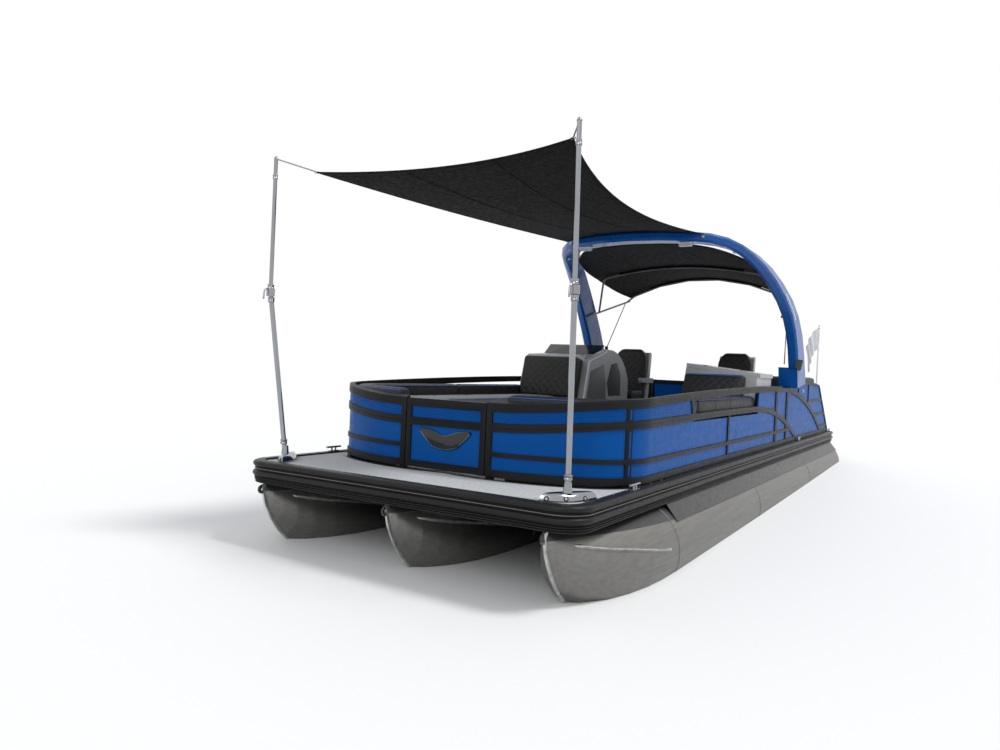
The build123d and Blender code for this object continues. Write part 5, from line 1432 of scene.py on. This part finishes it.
def narrowed(verts, shoulders):
    """A chair back drawn in towards its top."""
    top = max(vert.co.z for vert in verts)
    middle = (max(vert.co.y for vert in verts) + min(vert.co.y for vert in verts)) / 2
    for vert in verts:
        if vert.co.z > top - shoulders:
            share = (vert.co.z - top + shoulders) / shoulders
            vert.co.y = middle + (vert.co.y - middle) * (1 - SHOULDER_NARROWING * share**2.2)


def stuffed(name, mesh, body, made, voxel, swell, channels=(), shoulders=0.0, quilted=0.0):
    """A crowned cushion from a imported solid: its grid, its crown, its rounded edges and its sewn channels."""
    edges = sharp_points(mesh)
    shape = gridded(name, mesh, voxel)
    finder = KDTree(len(edges))
    for index, point in enumerate(edges):
        finder.insert(point, index)
    finder.balance()
    form = bmesh.new()
    form.from_mesh(shape)
    for _ in range(SMOOTHINGS):
        bmesh.ops.smooth_vert(form, verts=form.verts, factor=0.5, use_axis_x=True, use_axis_y=True,
                              use_axis_z=True)
    form.normal_update()
    foot = min(vert.co.z for vert in form.verts) + FLAT_FOOT
    if shoulders:
        narrowed(form.verts, shoulders)
    moves = []
    for vert in form.verts:
        far = finder.find(vert.co)[2]
        crown = swell * (1 - math.exp(-far / CROWN_RUN)) - EDGE_DRAW
        sunk = 0.0
        for axis, place, width, depth in channels:
            away = abs(vert.co[axis] - place)
            if away < width and vert.normal.z > -0.5:
                sunk = max(sunk, depth * (1 - away / width) ** 1.5)
        if quilted and vert.normal.x > 0.35 and far > QUILT_MARGIN:
            sunk = quilted * quilt(vert.co)
        moves.append(vert.normal * (crown - sunk) if vert.co.z > foot else Vector((0, 0, 0)))
    for vert, move in zip(form.verts, moves):
        vert.co += move
    form.to_mesh(shape)
    form.free()
    piece = placed(name, shape, made, body, 180)
    fine = piece.modifiers.new("fine", "SUBSURF")
    fine.levels = fine.render_levels = 1
    return piece


# Points of the piping lie this far apart, and are looked for this far under the cushion's edge
PIPING_STEP = 0.02
PIPING_UNDER = Vector((0, 0, 0.006))


def piping_on(name, piece, mesh, body, radius):
    """Piping round the top face of a cushion, laid on its finished surface."""
    form = bmesh.new()
    form.from_mesh(mesh)
    high = max(vert.co.z for vert in form.verts)
    links = {}
    for edge in sewn_edges(form):
        a, b = edge.verts
        if min(a.co.z, b.co.z) > high - 0.002:
            links.setdefault(a, []).append(b)
            links.setdefault(b, []).append(a)
    if not links:
        form.free()
        return None
    start = min(links, key=lambda vert: vert.index)
    path, here, last = [start], start, None
    while len(path) <= len(links):
        onward = [vert for vert in links[here] if vert is not last]
        if not onward or onward[0] is start:
            break
        last, here = here, onward[0]
        path.append(here)
    corners = [vert.co.copy() for vert in path]
    form.free()
    tree = surface_tree(piece, finished=True)
    points = []
    for a, b in zip(corners, corners[1:] + corners[:1]):
        count = max(1, int((b - a).length / PIPING_STEP))
        points += [a.lerp(b, k / count) for k in range(count)]
    laid = []
    for point in points:
        near, normal = nearest(tree, point - PIPING_UNDER)
        laid.append(near + normal * radius * 0.3)
    for _ in range(2):
        laid = [(laid[k - 1] + laid[k] * 2 + laid[(k + 1) % len(laid)]) / 4 for k in range(len(laid))]
    return rod(name, laid, radius, "piping", body, sides=8, closed=True)


SOFT_NODES = (("bow_cushions", "hull"), ("console_backrests", "hull"), ("stern_lounge_cushions", "hull"),
              ("helm_chair_cushions", "helm_seat"), ("port_chair_cushions", "port_seat"))


# Sewn channels: how far apart, how wide and how deep
CHANNEL_PITCH = 0.42
CHANNEL_WIDTH = 0.018
CHANNEL_DEPTH = 0.009
# A seat is thinner than this, or on a chair lies lower than this; small cushions have a finer grid
SEAT_THICKNESS = 0.13
CHAIR_SEAT_TOP = DECK + 0.6
SMALL_GRID = 0.6
BACK_SHOULDERS = 0.16
QUILT_DEPTH = 0.009


def channels_along(low, high, axis):
    """Channels sewn across a cushion's long side."""
    count = max(1, round((high - low) / CHANNEL_PITCH))
    return [(axis, low + (high - low) * k / count, CHANNEL_WIDTH, CHANNEL_DEPTH) for k in range(1, count)]


def cushion(node, index, mesh, body, sizes):
    """One cushion of a node: a seat or a back, quilted where it is small and upright."""
    name = f"{node}_{index}"
    low = [min(vert.co[k] for vert in mesh.vertices) for k in range(3)]
    high = [max(vert.co[k] for vert in mesh.vertices) for k in range(3)]
    chair = "chair" in node
    seat = high[2] - low[2] < SEAT_THICKNESS or chair and high[2] < CHAIR_SEAT_TOP
    axis = 0 if high[0] - low[0] > high[1] - low[1] else 1
    small = node == "console_backrests" or chair
    source = mesh.copy()
    piece = stuffed(name, mesh, body, "vinyl_light" if seat and node == "bow_cushions" else "vinyl",
                    sizes.voxel * (SMALL_GRID if small else 1), sizes.swell,
                    () if small else channels_along(low[axis], high[axis], axis),
                    BACK_SHOULDERS if chair and not seat else 0.0,
                    QUILT_DEPTH if node == "console_backrests" or chair and not seat else 0.0)
    if seat or not chair:
        piping_on(name + "_piping", piece, source, body, sizes.piping)
    return piece


class BOAT_OT_cushions(bpy.types.Operator):
    """Stuff every cushion, sew its channels and lay its piping"""
    bl_idname = "boat.cushions"
    bl_label = "Cushions"
    bl_options = {"REGISTER", "UNDO"}

    def execute(self, context):
        sizes = context.scene.boat_sizes
        for node, body in SOFT_NODES:
            pieces = [cushion(node, index, mesh, body, sizes) for index, mesh in enumerate(islands(node))]
            for piece in pieces:
                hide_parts(node)
        return {"FINISHED"}


# Levels over the cowl's foot of the two beads of its belt and of its lowest vent, and the vents' pattern
BELT_LEVELS = (0.07, 0.085)
VENT_FOOT = 0.28
VENTS = 5
VENT_STEP = 0.018
VENT_LENGTH = 0.2
VENT_POINTS = 7
VENT_BACK = -0.08


class BOAT_OT_motor(bpy.types.Operator):
    """Smooth the leg and the cowl, and add the cowl's belt line and vents"""
    bl_idname = "boat.motor"
    bl_label = "Motor trim"
    bl_options = {"REGISTER", "UNDO"}

    def execute(self, context):
        smooth_copy("motor_leg", "motor_leg_cover", "leg", 30, "motor")
        smooth_copy("motor_cowl", "motor_cowl_cover", "cowl", 30, "motor")
        tree = surface_tree(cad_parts["motor_cowl"])
        low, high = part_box("motor_cowl")
        middle = (low[0] + high[0]) / 2
        beads = []
        for level in BELT_LEVELS:
            ring = []
            for way in circle(Vector(), 1, 72):
                hit = tree.ray_cast(Vector((middle, 0, low[2] + level)) + way * 1.2, -way)[0]
                ring.append(hit + way * 0.001)
            beads.append(rod("belt", ring, 0.004, "leg", "motor", sides=6, closed=True))
        joined("cowl_belt", beads)
        vents = []
        for hand in (-1, 1):
            for k in range(VENTS):
                spots = [Vector((middle + VENT_BACK + VENT_LENGTH * t / (VENT_POINTS - 1), hand,
                                 low[2] + VENT_FOOT + VENT_STEP * k + 0.01 * t)) for t in range(VENT_POINTS)]
                hits = [tree.ray_cast(spot, Vector((0, -hand, 0)))[0] for spot in spots]
                path = [hit for hit in hits if hit]
                if len(path) > 2:
                    vents.append(rod("vent", path, 0.005, "leg", "motor", sides=6))
        joined("cowl_vents", vents)
        return {"FINISHED"}


# A quarter light's profile, and the port one's place
QUARTER_LIGHT = ((0.0, 0.010), (0.016, 0.009), (0.024, 0.005), (0.027, -0.004))
QUARTER_PLACE = (-2.136, 1.2165, 1.074)


class BOAT_OT_fittings(bpy.types.Operator):
    """Add the quarter lights"""
    bl_idname = "boat.fittings"
    bl_label = "Fittings"
    bl_options = {"REGISTER", "UNDO"}

    def execute(self, context):
        x, y, z = QUARTER_PLACE
        joined("quarter_lights", [turned("light", QUARTER_LIGHT, (x, hand * y, z), (0, hand, 0), "lens")
                                  for name, hand in SIDES])
        return {"FINISHED"}


GROUPS = (BoatColours, BoatSizes)
STEPS = (BOAT_OT_finishes, BOAT_OT_stage, BOAT_OT_rub_rail, BOAT_OT_fence, BOAT_OT_arch, BOAT_OT_sail,
         BOAT_OT_canopy, BOAT_OT_flag, BOAT_OT_hull, BOAT_OT_masts, BOAT_OT_helm, BOAT_OT_cushions,
         BOAT_OT_motor, BOAT_OT_fittings)


class BOAT_PT_dressing(bpy.types.Panel):
    """Lists the steps that dress the boat"""
    bl_idname = "BOAT_PT_dressing"
    bl_label = "Boat dressing"
    bl_space_type = "VIEW_3D"
    bl_region_type = "UI"
    bl_category = "Boat"

    def draw(self, context):
        for group in (context.scene.boat_colours, context.scene.boat_sizes):
            for key in group.__annotations__:
                self.layout.prop(group, key)
        for step in STEPS:
            self.layout.operator(step.bl_idname)


def register():
    for kind in (*GROUPS, *STEPS, BOAT_PT_dressing):
        bpy.utils.register_class(kind)
    bpy.types.Scene.boat_colours = bpy.props.PointerProperty(type=BoatColours)
    bpy.types.Scene.boat_sizes = bpy.props.PointerProperty(type=BoatSizes)


def unregister():
    del bpy.types.Scene.boat_sizes
    del bpy.types.Scene.boat_colours
    for kind in reversed((*GROUPS, *STEPS, BOAT_PT_dressing)):
        bpy.utils.unregister_class(kind)


def main():
    """Registers the add-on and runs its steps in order."""
    register()
    for step in STEPS:
        group, name = step.bl_idname.split(".")
        getattr(getattr(bpy.ops, group), name)()


if __name__ == "__main__":
    main()
